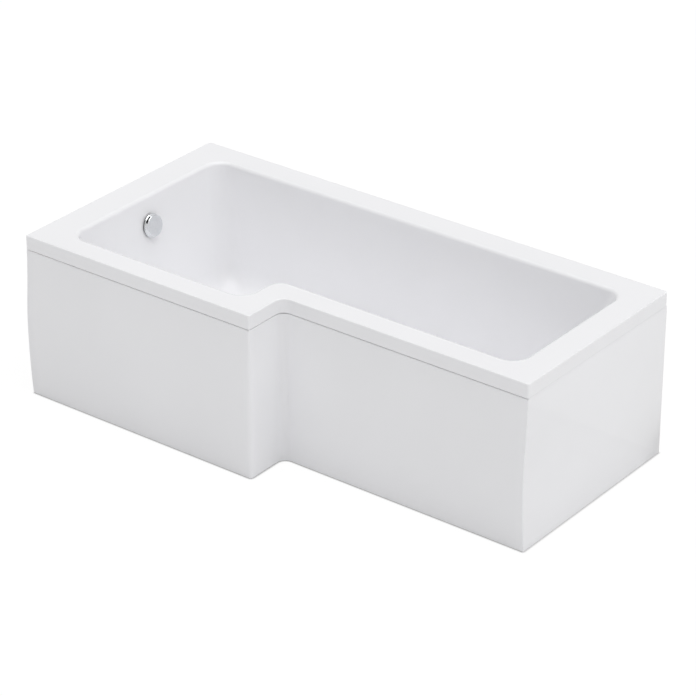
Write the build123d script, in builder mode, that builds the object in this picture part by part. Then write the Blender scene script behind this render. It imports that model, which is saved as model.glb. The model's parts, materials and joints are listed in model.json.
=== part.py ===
from build123d import *
import math
import os

# L-shaped shower bath on an adjustable leg set, with a bowed front panel, an end
# panel and a turn-to-open waste with its overflow.
# Millimetres, +Z up. The origin is on the floor, under the middle of the outline.
# The shower end is the wide end at -X, the walls of the room are at -X and +Y.

# Outline of the rim
length = 1700
wide_width = 850
narrow_width = 700
shower_length = 850
height = 530
lip_height = 45
skin = 5
lip_corner_back = 10
lip_corner_left = 4
lip_corner_step = 6
lip_corner_right = 7
step_inner_radius = 30
rim_edge_radius = 3

# Basin, as seen from above: how far its mouth lies inside the rim's outline. The radii of
# its corners are shares of the depth of the step in the L.
rim_left = 105
rim_right = 90
rim_back = 89
rim_front = 82
basin_depth = 400
wall_draft = 5.5
shower_wall_draft = 10
backrest_draft = 27
mouth_corner_share = 55 / 150
low_corner_share = 66 / 150
floor_corner_share = 56 / 150
mouth_step_share = 50 / 150
low_step_share = 80 / 150
floor_bend_radius = 85
mouth_edge_radius = 8
floor_fall = 0.006
wall_levels = 1
bend_levels = 8

# Waste and overflow
waste_from_end = 300
waste_from_back = 428
waste_hole_radius = 26
waste_recess_radius = 37
waste_recess_depth = 3
waste_boss_radius = 48
waste_boss_depth = 4
overflow_below_rim = 92
overflow_hole_radius = 26

# Front and end panels
panel_gap = 4
panel_skin = 4
panel_top_setback = 1.5
panel_belly = 10.7
panel_belly_height = 237
panel_flush_drop = 56
panel_flush_lean = 0.045
panel_foot_lean = 0.1
panel_end_setback = 1.3
panel_corner_radius = 8
rail_depth = 18
rail_height = 45
top_rail_drop = 6
bottom_rail_lift = 6
rail_end_gap = 32
clip_width = 40
clip_sheet = 2
clip_overlap = 30
clip_bend_radius = 3
front_clip_from_end = 170
end_clip_from_edge = 175

# Strips bonded under the rim
batten_width = 55
batten_thickness = 18
batten_edge_gap = 8
batten_end_gap = 12

# Base board and leg set
board_thickness = 18
board_margin = 7
board_notch_radius = 58
cross_rail_width = 40
cross_rail_height = 25
cross_rail_sheet = 2
cross_rail_end = 22
wide_rail_from_left = 440
narrow_rail_from_right = 470
foot_from_wall = 28
rod_radius = 6
rod_hole_radius = 6.5
thread_clearance = 0.05
nut_across_flats = 19
nut_thickness = 10
rod_above_rail = 14
rod_tip_chamfer = 1
pad_radius = 26
pad_height = 16
pad_rim_height = 4
pad_slope_height = 8
pad_neck_radius = 11
middle_plate_length = 90
middle_plate_width = 60
middle_plate_thickness = 4
middle_socket_radius = 11
middle_socket_height = 34
foot_travel_up = 10
screw_radius = 2.25
screw_length = 14
screw_head_radius = 4.5
screw_head_height = 2.5
screws_per_rail = 4
screw_from_edge = 9

# Wall brackets
bracket_width = 40
bracket_sheet = 2
bracket_reach = 42
bracket_drop = 96
bracket_bend_radius = 3
back_bracket_from_end = 425
left_bracket_from_front = 212.5
bracket_hole_radius = 2.75
bracket_hole_spacing = 24
bracket_hole_drop = 83

# Overflow fittings
gasket_thickness = 2
gasket_radius = 36
fitting_flange_radius = 37
fitting_flange_thickness = 4
barrel_radius = 29
barrel_length = 34
barrel_wall = 4
neck_radius = 24
neck_bore_radius = 20
neck_length = 24
faceplate_radius = 34
faceplate_thickness = 3
faceplate_edge_radius = 1
knob_radius = 38
knob_gap = 4.5
knob_height = 13
knob_wall = 2.5
knob_edge_radius = 1.5
knob_slot_width = 20
knob_slot_height = 3.4
knob_slot_angle = 128
spindle_radius = 4
spindle_clearance = 0.05
spindle_collar_gap = 1
spindle_collar_thickness = 4
knob_boss_radius = 7

# Overflow hose
hose_bore_radius = 12
hose_cuff_radius = 14.5
hose_cuff_length = 29
hose_rib_radius = 17
hose_root_radius = 14.8
hose_rib_pitch = 8
rib_crest_start = 0.25
rib_crest_end = 0.55
rib_foot = 0.8
hose_bend_radius = 120
hose_nut_radius = 21
hose_nut_length = 26
spigot_drop = 52
spigot_reach = 22

# Control cable
cable_radius = 3
cable_offset = 40
ferrule_radius = 5
ferrule_length = 18
gearbox_width = 32
gearbox_height = 26
gearbox_length = 24

# Waste fittings
flange_radius = 36
flange_thickness = 2.5
flange_seat_radius = 30
flange_seat_depth = 3
flange_neck_length = 24
spoke_width = 4
spoke_depth = 8
spoke_root = 1
spoke_hub_radius = 8
plug_radius = 28.5
plug_thickness = 3.5
plug_edge_radius = 2.5
plug_seal_thickness = 1.8
plug_seal_gap = 0.4
plug_seal_inset = 1
plug_stem_length = 46
waste_body_length = 60
waste_tail_length = 20
waste_tail_radius = 23.9
waste_inlet_below = 26

# Places worked out from the sizes above
left = -length / 2
right = length / 2
back = (wide_width + panel_belly) / 2
front_wide = back - wide_width
front_narrow = back - narrow_width
step_x = left + shower_length
step_depth = wide_width - narrow_width
mouth_corner_radius = mouth_corner_share * step_depth
low_corner_radius = low_corner_share * step_depth
floor_corner_radius = floor_corner_share * step_depth
mouth_step_radius = mouth_step_share * step_depth
low_step_radius = low_step_share * step_depth
lip_bottom = height - lip_height
rim_under = height - skin
floor_top = height - basin_depth
panel_top = lip_bottom - panel_gap
waste_x = left + waste_from_end
waste_y = back - waste_from_back


def draft_tangent(draft):
    return math.tan(math.radians(draft))


def wall_inset(rim, draft, z):
    """How far inside the outline a basin wall lies at the height z."""
    return rim + draft_tangent(draft) * (height - z)


def bend_centre(rim, draft):
    """Inset of the centre of the bend between a basin wall and the floor."""
    half_turn = math.radians(90 - draft) / 2
    return wall_inset(rim, draft, floor_top) + floor_bend_radius * math.tan(half_turn)


def basin_inset(rim, draft, z, offset):
    """Inset of a basin wall and its bend at z, for a face lying offset outside the basin."""
    radius = floor_bend_radius + offset
    rise = z - (floor_top - offset)
    if rise < radius * (1 - math.sin(math.radians(draft))):
        return bend_centre(rim, draft) - math.sqrt(max(radius**2 - (radius - rise) ** 2, 0))
    return wall_inset(rim, draft, z) - offset / math.cos(math.radians(draft))


def l_points(in_left, in_right, in_back, in_wide, in_narrow, in_step, x_shift=0):
    """Corners of the L, each side moved in by its own inset, from the back left corner."""
    x_left = left + in_left - x_shift
    x_right = right - in_right - x_shift
    x_step = step_x - in_step - x_shift
    y_back = back - in_back
    y_wide = front_wide + in_wide
    y_narrow = front_narrow + in_narrow
    return [
        (x_left, y_back),
        (x_right, y_back),
        (x_right, y_narrow),
        (x_step, y_narrow),
        (x_step, y_wide),
        (x_left, y_wide),
    ]


def basin_points(z, offset, x_shift=0):
    """Corners of the basin's section at the height z."""
    side = basin_inset(rim_front, wall_draft, z, offset)
    return l_points(
        basin_inset(rim_left, shower_wall_draft, z, offset),
        basin_inset(rim_right, backrest_draft, z, offset),
        basin_inset(rim_back, wall_draft, z, offset),
        side,
        side,
        side,
        x_shift,
    )


def corner_radii(corner, step, offset):
    """Radii for the corners of l_points, where only the step's corner turns outward."""
    outer = corner + offset
    return [outer, outer, outer, step - offset, outer, outer]


def basin_solid(offset, top):
    """Solid of the basin's hollow, grown by offset, from its floor up to top."""
    bend_z = floor_top + floor_bend_radius * (1 - math.sin(math.radians(wall_draft)))
    low_z = floor_top - offset
    with BuildPart() as basin:
        # Level sections down the walls, then down the bend, where they tilt with the floor
        for level in range(wall_levels + bend_levels + 1):
            down = min(level / wall_levels, 1)
            turn = max(level - wall_levels, 0) / bend_levels
            bend = math.sin(turn * math.pi / 2)
            tilt = floor_fall * bend
            z = top + (bend_z - top) * down + (low_z - bend_z) * bend
            corner = mouth_corner_radius + (low_corner_radius - mouth_corner_radius) * down
            corner += (floor_corner_radius - low_corner_radius) * turn
            step = mouth_step_radius + (low_step_radius - mouth_step_radius) * down
            level_plane = Plane(origin=(waste_x, 0, z), x_dir=(1, 0, tilt), z_dir=(-tilt, 0, 1))
            with BuildSketch(level_plane):
                with BuildLine():
                    FilletPolyline(
                        basin_points(z, offset, waste_x),
                        radius=corner_radii(corner, step, offset),
                        close=True,
                    )
                make_face()
        loft(ruled=True, clean=False)
    return basin.part


def export_piece(piece, name):
    piece.part.label = name
    export_step(piece.part, f"parts/{name}.step")


os.makedirs("parts", exist_ok=True)

# Bath shell: rim with its turned-down lip, the L-shaped basin and its two holes
basin_outside = basin_solid(skin, height - skin / 2)
basin_inside = basin_solid(0, height)
overflow_z = height - overflow_below_rim
overflow_x = left + wall_inset(rim_left, shower_wall_draft, overflow_z)
shower_lean = math.radians(shower_wall_draft)
wall_normal = (math.cos(shower_lean), 0, math.sin(shower_lean))
overflow_plane = Plane(
    origin=(overflow_x, waste_y, overflow_z), x_dir=(0, 1, 0), z_dir=wall_normal
)
waste_plane = Plane(origin=(waste_x, waste_y, floor_top))
lip_radii = [
    lip_corner_back,
    lip_corner_back,
    lip_corner_right,
    step_inner_radius,
    lip_corner_step,
    lip_corner_left,
]
lip_inner_radii = [max(radius - skin, 1) for radius in lip_radii]
lip_inner_radii[3] = step_inner_radius + skin

with BuildPart() as bath_shell:
    with BuildSketch(Plane.XY.offset(lip_bottom)):
        with BuildLine():
            FilletPolyline(l_points(0, 0, 0, 0, 0, 0), radius=lip_radii, close=True)
        make_face()
    extrude(amount=lip_height)
    fillet(bath_shell.edges().group_by(Axis.Z)[-1], radius=rim_edge_radius)
    with BuildSketch(Plane.XY.offset(lip_bottom)):
        with BuildLine():
            FilletPolyline(
                l_points(skin, skin, skin, skin, skin, skin), radius=lip_inner_radii, close=True
            )
        make_face()
    extrude(amount=lip_height - skin, mode=Mode.SUBTRACT)
    add(basin_outside, clean=False)
    with BuildSketch(waste_plane.offset(-skin - waste_boss_depth)):
        Circle(waste_boss_radius)
    extrude(amount=skin + waste_boss_depth, clean=False)
    add(basin_inside, mode=Mode.SUBTRACT, clean=False)
    mouth = bath_shell.faces().sort_by(Axis.Z)[-1].inner_wires()[0]
    fillet(mouth.edges(), radius=mouth_edge_radius)
    with BuildSketch(waste_plane.offset(-waste_recess_depth)):
        Circle(waste_recess_radius)
    extrude(amount=floor_bend_radius, mode=Mode.SUBTRACT, clean=False)
    with BuildSketch(waste_plane):
        Circle(waste_hole_radius)
    extrude(amount=-floor_top, mode=Mode.SUBTRACT, clean=False)
    with BuildSketch(overflow_plane.offset(floor_bend_radius)):
        Circle(overflow_hole_radius)
    extrude(amount=-2 * floor_bend_radius, mode=Mode.SUBTRACT, clean=False)
export_piece(bath_shell, "bath_shell")

# Strips bonded under the rim, one along each side
batten_top = rim_under


def batten(name, x_low, x_high, y_low, y_high):
    with BuildPart(Plane.XY.offset(batten_top)) as strip:
        with Locations(((x_low + x_high) / 2, (y_low + y_high) / 2)):
            Box(
                x_high - x_low,
                y_high - y_low,
                batten_thickness,
                align=(Align.CENTER, Align.CENTER, Align.MAX),
            )
    export_piece(strip, name)


edge_in = skin + batten_edge_gap
side_in = edge_in + batten_width + batten_end_gap
batten(
    "rim_batten_back", left + edge_in, right - edge_in, back - edge_in - batten_width, back - edge_in
)
batten(
    "rim_batten_left",
    left + edge_in,
    left + edge_in + batten_width,
    front_wide + side_in,
    back - side_in,
)
batten(
    "rim_batten_right",
    right - edge_in - batten_width,
    right - edge_in,
    front_narrow + side_in,
    back - side_in,
)
batten(
    "rim_batten_front_wide",
    left + edge_in,
    step_x - side_in,
    front_wide + edge_in,
    front_wide + edge_in + batten_width,
)
batten(
    "rim_batten_step",
    step_x - edge_in - batten_width,
    step_x - edge_in,
    front_wide + edge_in,
    front_narrow - edge_in,
)
batten(
    "rim_batten_front_narrow",
    step_x + batten_end_gap,
    right - edge_in,
    front_narrow + edge_in,
    front_narrow + edge_in + batten_width,
)
batten_low = batten_top - batten_thickness

# Base board, bonded under the falling floor and notched round the waste
floor_under = floor_top - skin
board_plane = Plane(
    origin=(waste_x, 0, floor_under), x_dir=(1, 0, floor_fall), z_dir=(-floor_fall, 0, 1)
)
side_bend = bend_centre(rim_front, wall_draft) + board_margin
board_insets = (
    bend_centre(rim_left, shower_wall_draft) + board_margin,
    bend_centre(rim_right, backrest_draft) + board_margin,
    bend_centre(rim_back, wall_draft) + board_margin,
    side_bend,
    side_bend,
    side_bend,
)


def under_board(x, lift=0):
    """Height of the board's underside at x."""
    return floor_under - board_thickness + floor_fall * (x - waste_x) - lift


rail_positions = {"wide": left + wide_rail_from_left, "narrow": right - narrow_rail_from_right}
middle_x = (left + right) / 2
board_back = back - board_insets[2]
board_front_wide = front_wide + side_bend
board_front_narrow = front_narrow + side_bend
middle_y = (board_back + board_front_narrow) / 2
foot_y_back = back - wall_inset(rim_back, wall_draft, floor_top) - foot_from_wall
foot_y_wide = front_wide + wall_inset(rim_front, wall_draft, floor_top) + foot_from_wall
foot_y_narrow = front_narrow + wall_inset(rim_front, wall_draft, floor_top) + foot_from_wall
rail_front = {"wide": foot_y_wide, "narrow": foot_y_narrow}
board_front = {"wide": board_front_wide, "narrow": board_front_narrow}
rail_top = {name: under_board(x - cross_rail_width / 2) for name, x in rail_positions.items()}


def rail_screw_places(name):
    """Screw centres along a cross rail, spread over the board above it."""
    low = board_front[name] + cross_rail_width
    high = board_back - cross_rail_width
    step = (high - low) / (screws_per_rail - 1)
    return [(rail_positions[name], low + step * number) for number in range(screws_per_rail)]


middle_top = under_board(middle_x - middle_plate_length / 2)
middle_spread_x = middle_plate_length / 2 - screw_from_edge
middle_spread_y = middle_plate_width / 2 - screw_from_edge
middle_screws = [
    (middle_x - middle_spread_x, middle_y - middle_spread_y),
    (middle_x - middle_spread_x, middle_y + middle_spread_y),
    (middle_x + middle_spread_x, middle_y - middle_spread_y),
    (middle_x + middle_spread_x, middle_y + middle_spread_y),
]
screw_places = {
    "wide": rail_screw_places("wide"),
    "narrow": rail_screw_places("narrow"),
    "middle": middle_screws,
}
screw_seats = {
    "wide": rail_top["wide"] - cross_rail_sheet,
    "narrow": rail_top["narrow"] - cross_rail_sheet,
    "middle": middle_top - middle_plate_thickness,
}

with BuildPart() as base_board:
    with BuildSketch(board_plane):
        with BuildLine():
            Polyline(l_points(*board_insets, x_shift=waste_x), close=True)
        make_face()
    extrude(amount=-board_thickness)
    with BuildSketch():
        with Locations((waste_x, waste_y)):
            Circle(board_notch_radius)
        with Locations((waste_x - board_notch_radius, waste_y)):
            Rectangle(2 * board_notch_radius, 2 * board_notch_radius)
    extrude(amount=height, mode=Mode.SUBTRACT)
    for name, places in screw_places.items():
        with BuildSketch():
            with Locations(*places):
                Circle(screw_radius)
        extrude(amount=screw_seats[name] + screw_length, mode=Mode.SUBTRACT)
export_piece(base_board, "base_board")

# Cross rails: steel channels, open downwards, that carry two feet each
for name, rail_x in rail_positions.items():
    rail_length = foot_y_back - rail_front[name] + 2 * cross_rail_end
    rail_y = (foot_y_back + rail_front[name]) / 2
    rail_plane = Plane(origin=(rail_x, rail_y, rail_top[name]), x_dir=(1, 0, 0), z_dir=(0, -1, 0))
    with BuildPart() as cross_rail:
        with BuildSketch(rail_plane):
            Rectangle(cross_rail_width, cross_rail_height, align=(Align.CENTER, Align.MAX))
            with Locations((0, -cross_rail_sheet)):
                Rectangle(
                    cross_rail_width - 2 * cross_rail_sheet,
                    cross_rail_height,
                    align=(Align.CENTER, Align.MAX),
                    mode=Mode.SUBTRACT,
                )
        extrude(amount=rail_length / 2, both=True)
        with BuildSketch():
            with Locations((rail_x, foot_y_back), (rail_x, rail_front[name])):
                Circle(rod_hole_radius)
            with Locations(*screw_places[name]):
                Circle(screw_radius)
        extrude(amount=height, mode=Mode.SUBTRACT)
    export_piece(cross_rail, f"cross_rail_{name}")

# Middle foot's socket: a plate screwed to the board, with a threaded sleeve
with BuildPart(Plane.XY.offset(middle_top)) as middle_bracket:
    with Locations((middle_x, middle_y)):
        Box(
            middle_plate_length,
            middle_plate_width,
            middle_plate_thickness,
            align=(Align.CENTER, Align.CENTER, Align.MAX),
        )
        Cylinder(
            middle_socket_radius,
            middle_socket_height,
            align=(Align.CENTER, Align.CENTER, Align.MAX),
        )
        Cylinder(
            rod_radius + thread_clearance,
            middle_socket_height,
            align=(Align.CENTER, Align.CENTER, Align.MAX),
            mode=Mode.SUBTRACT,
        )
    with BuildSketch():
        with Locations(*middle_screws):
            Circle(screw_radius)
    extrude(amount=height, mode=Mode.SUBTRACT)
export_piece(middle_bracket, "middle_bracket")

# Screws that hold the rails and the bracket to the board
with BuildPart() as board_screws:
    for name, places in screw_places.items():
        with BuildSketch(Plane.XY.offset(screw_seats[name] - screw_head_height)):
            with Locations(*places):
                Circle(screw_head_radius)
        extrude(amount=screw_head_height)
        with BuildSketch(Plane.XY.offset(screw_seats[name])):
            with Locations(*places):
                Circle(screw_radius)
        extrude(amount=screw_length)
export_piece(board_screws, "board_screws")

# Feet: a plastic pad on a threaded rod, locked to its rail by a nut above and below
feet = {
    "wide_back": (rail_positions["wide"], foot_y_back, rail_top["wide"]),
    "wide_front": (rail_positions["wide"], foot_y_wide, rail_top["wide"]),
    "narrow_back": (rail_positions["narrow"], foot_y_back, rail_top["narrow"]),
    "narrow_front": (rail_positions["narrow"], foot_y_narrow, rail_top["narrow"]),
    "middle": (middle_x, middle_y, middle_top - middle_plate_thickness - foot_travel_up),
}
for name, (foot_x, foot_y, seat_z) in feet.items():
    rod_top = seat_z if name == "middle" else seat_z + rod_above_rail
    with BuildPart() as rod:
        with Locations((foot_x, foot_y, pad_slope_height)):
            Cylinder(
                rod_radius,
                rod_top - pad_slope_height,
                align=(Align.CENTER, Align.CENTER, Align.MIN),
            )
        chamfer(rod.edges().sort_by(Axis.Z)[-1], length=rod_tip_chamfer)
    export_piece(rod, f"foot_rod_{name}")
    with BuildPart() as pad:
        with BuildSketch(Plane(origin=(foot_x, foot_y, 0), x_dir=(1, 0, 0), z_dir=(0, -1, 0))):
            with BuildLine():
                Polyline(
                    (0, 0),
                    (pad_radius, 0),
                    (pad_radius, pad_rim_height),
                    (pad_neck_radius, pad_slope_height),
                    (pad_neck_radius, pad_height),
                    (0, pad_height),
                    close=True,
                )
            make_face()
        revolve(axis=Axis((foot_x, foot_y, 0), (0, 0, 1)))
        with Locations((foot_x, foot_y, pad_slope_height)):
            Cylinder(
                rod_radius,
                pad_height,
                align=(Align.CENTER, Align.CENTER, Align.MIN),
                mode=Mode.SUBTRACT,
            )
    export_piece(pad, f"foot_pad_{name}")

nut_places = [place for name, place in feet.items() if name != "middle"]


def nut_ring(name, lifts):
    """Hexagon nuts of the rail feet, each at its rail's top plus the lift."""
    with BuildPart() as nuts:
        for foot_x, foot_y, seat_z in nut_places:
            with BuildSketch(Plane.XY.offset(seat_z + lifts)):
                with Locations((foot_x, foot_y)):
                    RegularPolygon(nut_across_flats / 2, 6, major_radius=False)
                    Circle(rod_radius + thread_clearance, mode=Mode.SUBTRACT)
            extrude(amount=nut_thickness)
    export_piece(nuts, name)


nut_ring("upper_nuts", 0)
nut_ring("lower_nuts", -cross_rail_sheet - nut_thickness)

# Wall brackets: joggled steel angles from the rim's strips to the walls
wall_planes = {
    "back_left": Plane(
        origin=(left + back_bracket_from_end, back, 0), x_dir=(0, -1, 0), z_dir=(-1, 0, 0)
    ),
    "back_right": Plane(
        origin=(right - back_bracket_from_end, back, 0), x_dir=(0, -1, 0), z_dir=(-1, 0, 0)
    ),
    "left": Plane(
        origin=(left, front_wide + left_bracket_from_front, 0), x_dir=(1, 0, 0), z_dir=(0, -1, 0)
    ),
}
bracket_hole_places = [
    (-bracket_hole_spacing / 2, height - bracket_hole_drop),
    (bracket_hole_spacing / 2, height - bracket_hole_drop),
]
for name, plane in wall_planes.items():
    with BuildPart() as bracket:
        with BuildSketch(plane):
            with BuildLine():
                FilletPolyline(
                    (skin + bracket_reach, batten_low - bracket_sheet / 2),
                    (skin + 3 * bracket_sheet / 2, batten_low - bracket_sheet / 2),
                    (skin + 3 * bracket_sheet / 2, lip_bottom - bracket_sheet),
                    (bracket_sheet / 2, lip_bottom - skin - 3 * bracket_sheet),
                    (bracket_sheet / 2, height - bracket_drop),
                    radius=bracket_bend_radius,
                )
            trace(line_width=bracket_sheet)
        extrude(amount=bracket_width / 2, both=True)
        with BuildSketch(Plane(origin=plane.origin, x_dir=plane.z_dir, z_dir=-plane.x_dir)):
            with Locations(*bracket_hole_places):
                Circle(bracket_hole_radius)
        extrude(amount=-2 * bracket_sheet, mode=Mode.SUBTRACT)
    export_piece(bracket, f"wall_bracket_{name}")

# Front panel: one bowed sheet that follows the L, standing a gap below the lip
bow_points = [
    (-panel_top_setback, panel_top),
    (0, panel_top - panel_flush_drop),
    (panel_belly, panel_belly_height),
    (0, 0),
]
bow_inner_points = [(out - panel_skin, z) for out, z in bow_points]
bow_tangents = [(0, -1), (panel_flush_lean, -1), (0, -1), (-panel_foot_lean, -1)]
end_tangents = [(-out, z) for out, z in bow_tangents]
panel_end_x = right - panel_end_setback
with BuildPart() as front_panel:
    with BuildLine() as panel_path:
        FilletPolyline(
            (left, front_wide),
            (step_x, front_wide),
            (step_x, front_narrow),
            (panel_end_x, front_narrow),
            radius=[panel_corner_radius, step_inner_radius],
        )
    with BuildSketch(Plane(origin=(left, front_wide, 0), x_dir=(0, -1, 0), z_dir=(-1, 0, 0))):
        with BuildLine():
            Spline(*bow_points, tangents=bow_tangents)
            Line(bow_points[-1], bow_inner_points[-1])
            Spline(*bow_inner_points, tangents=bow_tangents)
            Line(bow_inner_points[0], bow_points[0])
        make_face()
    sweep(path=panel_path.line)
export_piece(front_panel, "front_panel")

# End panel: a flat sheet whose front edge follows the inside of the front panel
end_edge = [(front_narrow - out, z) for out, z in bow_inner_points]
with BuildPart() as end_panel:
    with BuildSketch(Plane(origin=(panel_end_x, 0, 0), x_dir=(0, 1, 0), z_dir=(1, 0, 0))):
        with BuildLine():
            Spline(*end_edge, tangents=end_tangents)
            Polyline(end_edge[-1], (back, 0), (back, panel_top), end_edge[0])
        make_face()
    extrude(amount=-panel_skin)
export_piece(end_panel, "end_panel")

# Rails bonded behind the panels, with clips from the top rails to the rim's strips
rail_levels = {
    "top": panel_top - top_rail_drop - rail_height,
    "bottom": bottom_rail_lift,
}
rail_back = -panel_skin - rail_depth
front_runs = {
    "wide": (
        Plane(origin=(step_x - rail_end_gap, front_wide, 0), x_dir=(0, -1, 0), z_dir=(-1, 0, 0)),
        shower_length - 2 * rail_end_gap,
    ),
    "step": (
        Plane(origin=(step_x, front_narrow - rail_end_gap, 0), x_dir=(1, 0, 0), z_dir=(0, -1, 0)),
        step_depth - 2 * rail_end_gap,
    ),
    "narrow": (
        Plane(origin=(right - rail_end_gap, front_narrow, 0), x_dir=(0, -1, 0), z_dir=(-1, 0, 0)),
        length - shower_length - 2 * rail_end_gap,
    ),
}
for run_name, (plane, run) in front_runs.items():
    for level_name, low_z in rail_levels.items():
        with BuildPart() as rail:
            with BuildSketch(plane):
                with Locations((rail_back, low_z)):
                    Rectangle(2 * rail_depth, rail_height, align=(Align.MIN, Align.MIN))
                with BuildLine():
                    Spline(*bow_inner_points, tangents=bow_tangents)
                    Polyline(
                        bow_inner_points[-1],
                        (2 * rail_depth, 0),
                        (2 * rail_depth, panel_top),
                        bow_inner_points[0],
                    )
                make_face(mode=Mode.SUBTRACT)
            extrude(amount=run)
        export_piece(rail, f"panel_rail_{run_name}_{level_name}")

end_inside = panel_end_x - panel_skin
for level_name, low_z in rail_levels.items():
    with BuildPart() as rail:
        with Locations((end_inside, (front_narrow + back) / 2, low_z)):
            Box(
                rail_depth,
                narrow_width - 2 * rail_end_gap,
                rail_height,
                align=(Align.MAX, Align.CENTER, Align.MIN),
            )
    export_piece(rail, f"panel_rail_end_{level_name}")

end_rail_back = end_inside - rail_depth - right
clip_low = rail_levels["top"] + rail_height - clip_overlap
front_clips = {
    "wide_left": (left + front_clip_from_end, front_wide),
    "wide_right": (step_x - front_clip_from_end, front_wide),
    "narrow_left": (step_x + front_clip_from_end, front_narrow),
    "narrow_right": (right - front_clip_from_end, front_narrow),
}
end_clips = {
    "end_front": (right, front_narrow + end_clip_from_edge),
    "end_back": (right, back - end_clip_from_edge),
}
clip_places = {
    name: (Plane(origin=(x, y, 0), x_dir=(0, -1, 0), z_dir=(-1, 0, 0)), rail_back)
    for name, (x, y) in front_clips.items()
}
clip_places |= {
    name: (Plane(origin=(x, y, 0), x_dir=(1, 0, 0), z_dir=(0, -1, 0)), end_rail_back)
    for name, (x, y) in end_clips.items()
}
for name, (plane, rail_face) in clip_places.items():
    with BuildPart() as clip:
        with BuildSketch(plane):
            with BuildLine():
                FilletPolyline(
                    (rail_face - clip_sheet / 2, clip_low),
                    (rail_face - clip_sheet / 2, batten_low - clip_sheet / 2),
                    (rail_face - clip_sheet / 2 - clip_overlap, batten_low - clip_sheet / 2),
                    radius=clip_bend_radius,
                )
            trace(line_width=clip_sheet)
        extrude(amount=clip_width / 2, both=True)
    export_piece(clip, f"panel_clip_{name}")

# Overflow: faceplate and neck through the wall, body and gasket behind it
body_face = -skin - gasket_thickness
barrel_back = body_face - barrel_length
barrel_middle = (body_face + barrel_back) / 2
spigot_x = overflow_x + barrel_middle * wall_normal[0]
spigot_z = overflow_z + barrel_middle * wall_normal[2]
hose_top_z = spigot_z - spigot_drop
knob_top = knob_gap + knob_height


def ring(plane, low, high, outer, inner):
    """Ring between two distances along a plane's normal."""
    with BuildPart() as piece:
        with BuildSketch(plane.offset(low)):
            Circle(outer)
            Circle(inner, mode=Mode.SUBTRACT)
        extrude(amount=high - low)
    return piece


overflow_gasket = ring(overflow_plane, body_face, -skin, gasket_radius, overflow_hole_radius)
export_piece(overflow_gasket, "overflow_gasket")

with BuildPart() as overflow_body:
    with BuildSketch(overflow_plane.offset(body_face)):
        Circle(fitting_flange_radius)
    extrude(amount=-fitting_flange_thickness)
    with BuildSketch(overflow_plane.offset(body_face)):
        Circle(barrel_radius)
    extrude(amount=-barrel_length)
    with Locations((spigot_x, waste_y, spigot_z)):
        Cylinder(hose_cuff_radius, spigot_drop, align=(Align.CENTER, Align.CENTER, Align.MAX))
        with Locations((0, cable_offset, 0)):
            Box(gearbox_length, gearbox_width, gearbox_height)
    with BuildSketch(overflow_plane.offset(body_face)):
        Circle(neck_radius)
    extrude(amount=barrel_wall - barrel_length, mode=Mode.SUBTRACT)
    with Locations((spigot_x, waste_y, spigot_z)):
        Cylinder(
            hose_bore_radius,
            spigot_drop,
            align=(Align.CENTER, Align.CENTER, Align.MAX),
            mode=Mode.SUBTRACT,
        )
    with BuildSketch(overflow_plane.offset(body_face)):
        Circle(spindle_radius + spindle_clearance)
    extrude(amount=-barrel_length, mode=Mode.SUBTRACT)
export_piece(overflow_body, "overflow_body")


def spider(plane, low):
    """Three spokes and a bored hub inside a neck, from low upwards."""
    with BuildPart() as piece:
        with BuildSketch(plane.offset(low)):
            Circle(spoke_hub_radius)
            with PolarLocations(0, 3):
                Rectangle(neck_bore_radius + spoke_root, spoke_width, align=(Align.MIN, Align.CENTER))
            Circle(spindle_radius + spindle_clearance, mode=Mode.SUBTRACT)
        extrude(amount=spoke_depth)
    return piece.part


overflow_spider = spider(overflow_plane, -neck_length)
with BuildPart() as overflow_faceplate:
    with BuildSketch(overflow_plane):
        Circle(faceplate_radius)
    extrude(amount=faceplate_thickness)
    fillet(overflow_faceplate.faces().sort_by(Axis.X)[-1].edges(), radius=faceplate_edge_radius)
    with BuildSketch(overflow_plane.offset(-neck_length)):
        Circle(neck_radius)
    extrude(amount=neck_length)
    with BuildSketch(overflow_plane.offset(-neck_length)):
        Circle(neck_bore_radius)
    extrude(amount=neck_length + faceplate_thickness, mode=Mode.SUBTRACT)
    add(overflow_spider)
export_piece(overflow_faceplate, "overflow_faceplate")

# Turning knob: a cap over the faceplate with a grip slot in its side
with BuildPart() as overflow_knob:
    with BuildSketch(overflow_plane.offset(knob_gap)):
        Circle(knob_radius)
    extrude(amount=knob_height)
    fillet(overflow_knob.faces().sort_by(Axis.X)[-1].edges(), radius=knob_edge_radius)
    with BuildSketch(overflow_plane.offset(knob_gap)):
        Circle(knob_radius - knob_wall)
        Circle(knob_boss_radius, mode=Mode.SUBTRACT)
    extrude(amount=knob_height - knob_wall, mode=Mode.SUBTRACT)
    with BuildSketch(overflow_plane.offset(knob_gap)):
        Circle(spindle_radius)
    extrude(amount=knob_height - knob_wall, mode=Mode.SUBTRACT)
    slot_low = knob_top - knob_wall - knob_slot_height
    with BuildSketch(overflow_plane.offset(slot_low)):
        with PolarLocations(0, 1, start_angle=knob_slot_angle):
            with Locations((knob_radius - knob_wall / 2, 0)):
                Rectangle(2 * knob_wall, knob_slot_width)
    extrude(amount=knob_slot_height, mode=Mode.SUBTRACT)
export_piece(overflow_knob, "overflow_knob")

with BuildPart() as overflow_spindle:
    with BuildSketch(overflow_plane.offset(barrel_back)):
        Circle(spindle_radius)
    extrude(amount=knob_top - knob_wall - barrel_back)
    with BuildSketch(overflow_plane.offset(barrel_back + barrel_wall + spindle_collar_gap)):
        Circle(spoke_hub_radius)
    extrude(amount=spindle_collar_thickness)
export_piece(overflow_spindle, "overflow_spindle")

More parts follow.
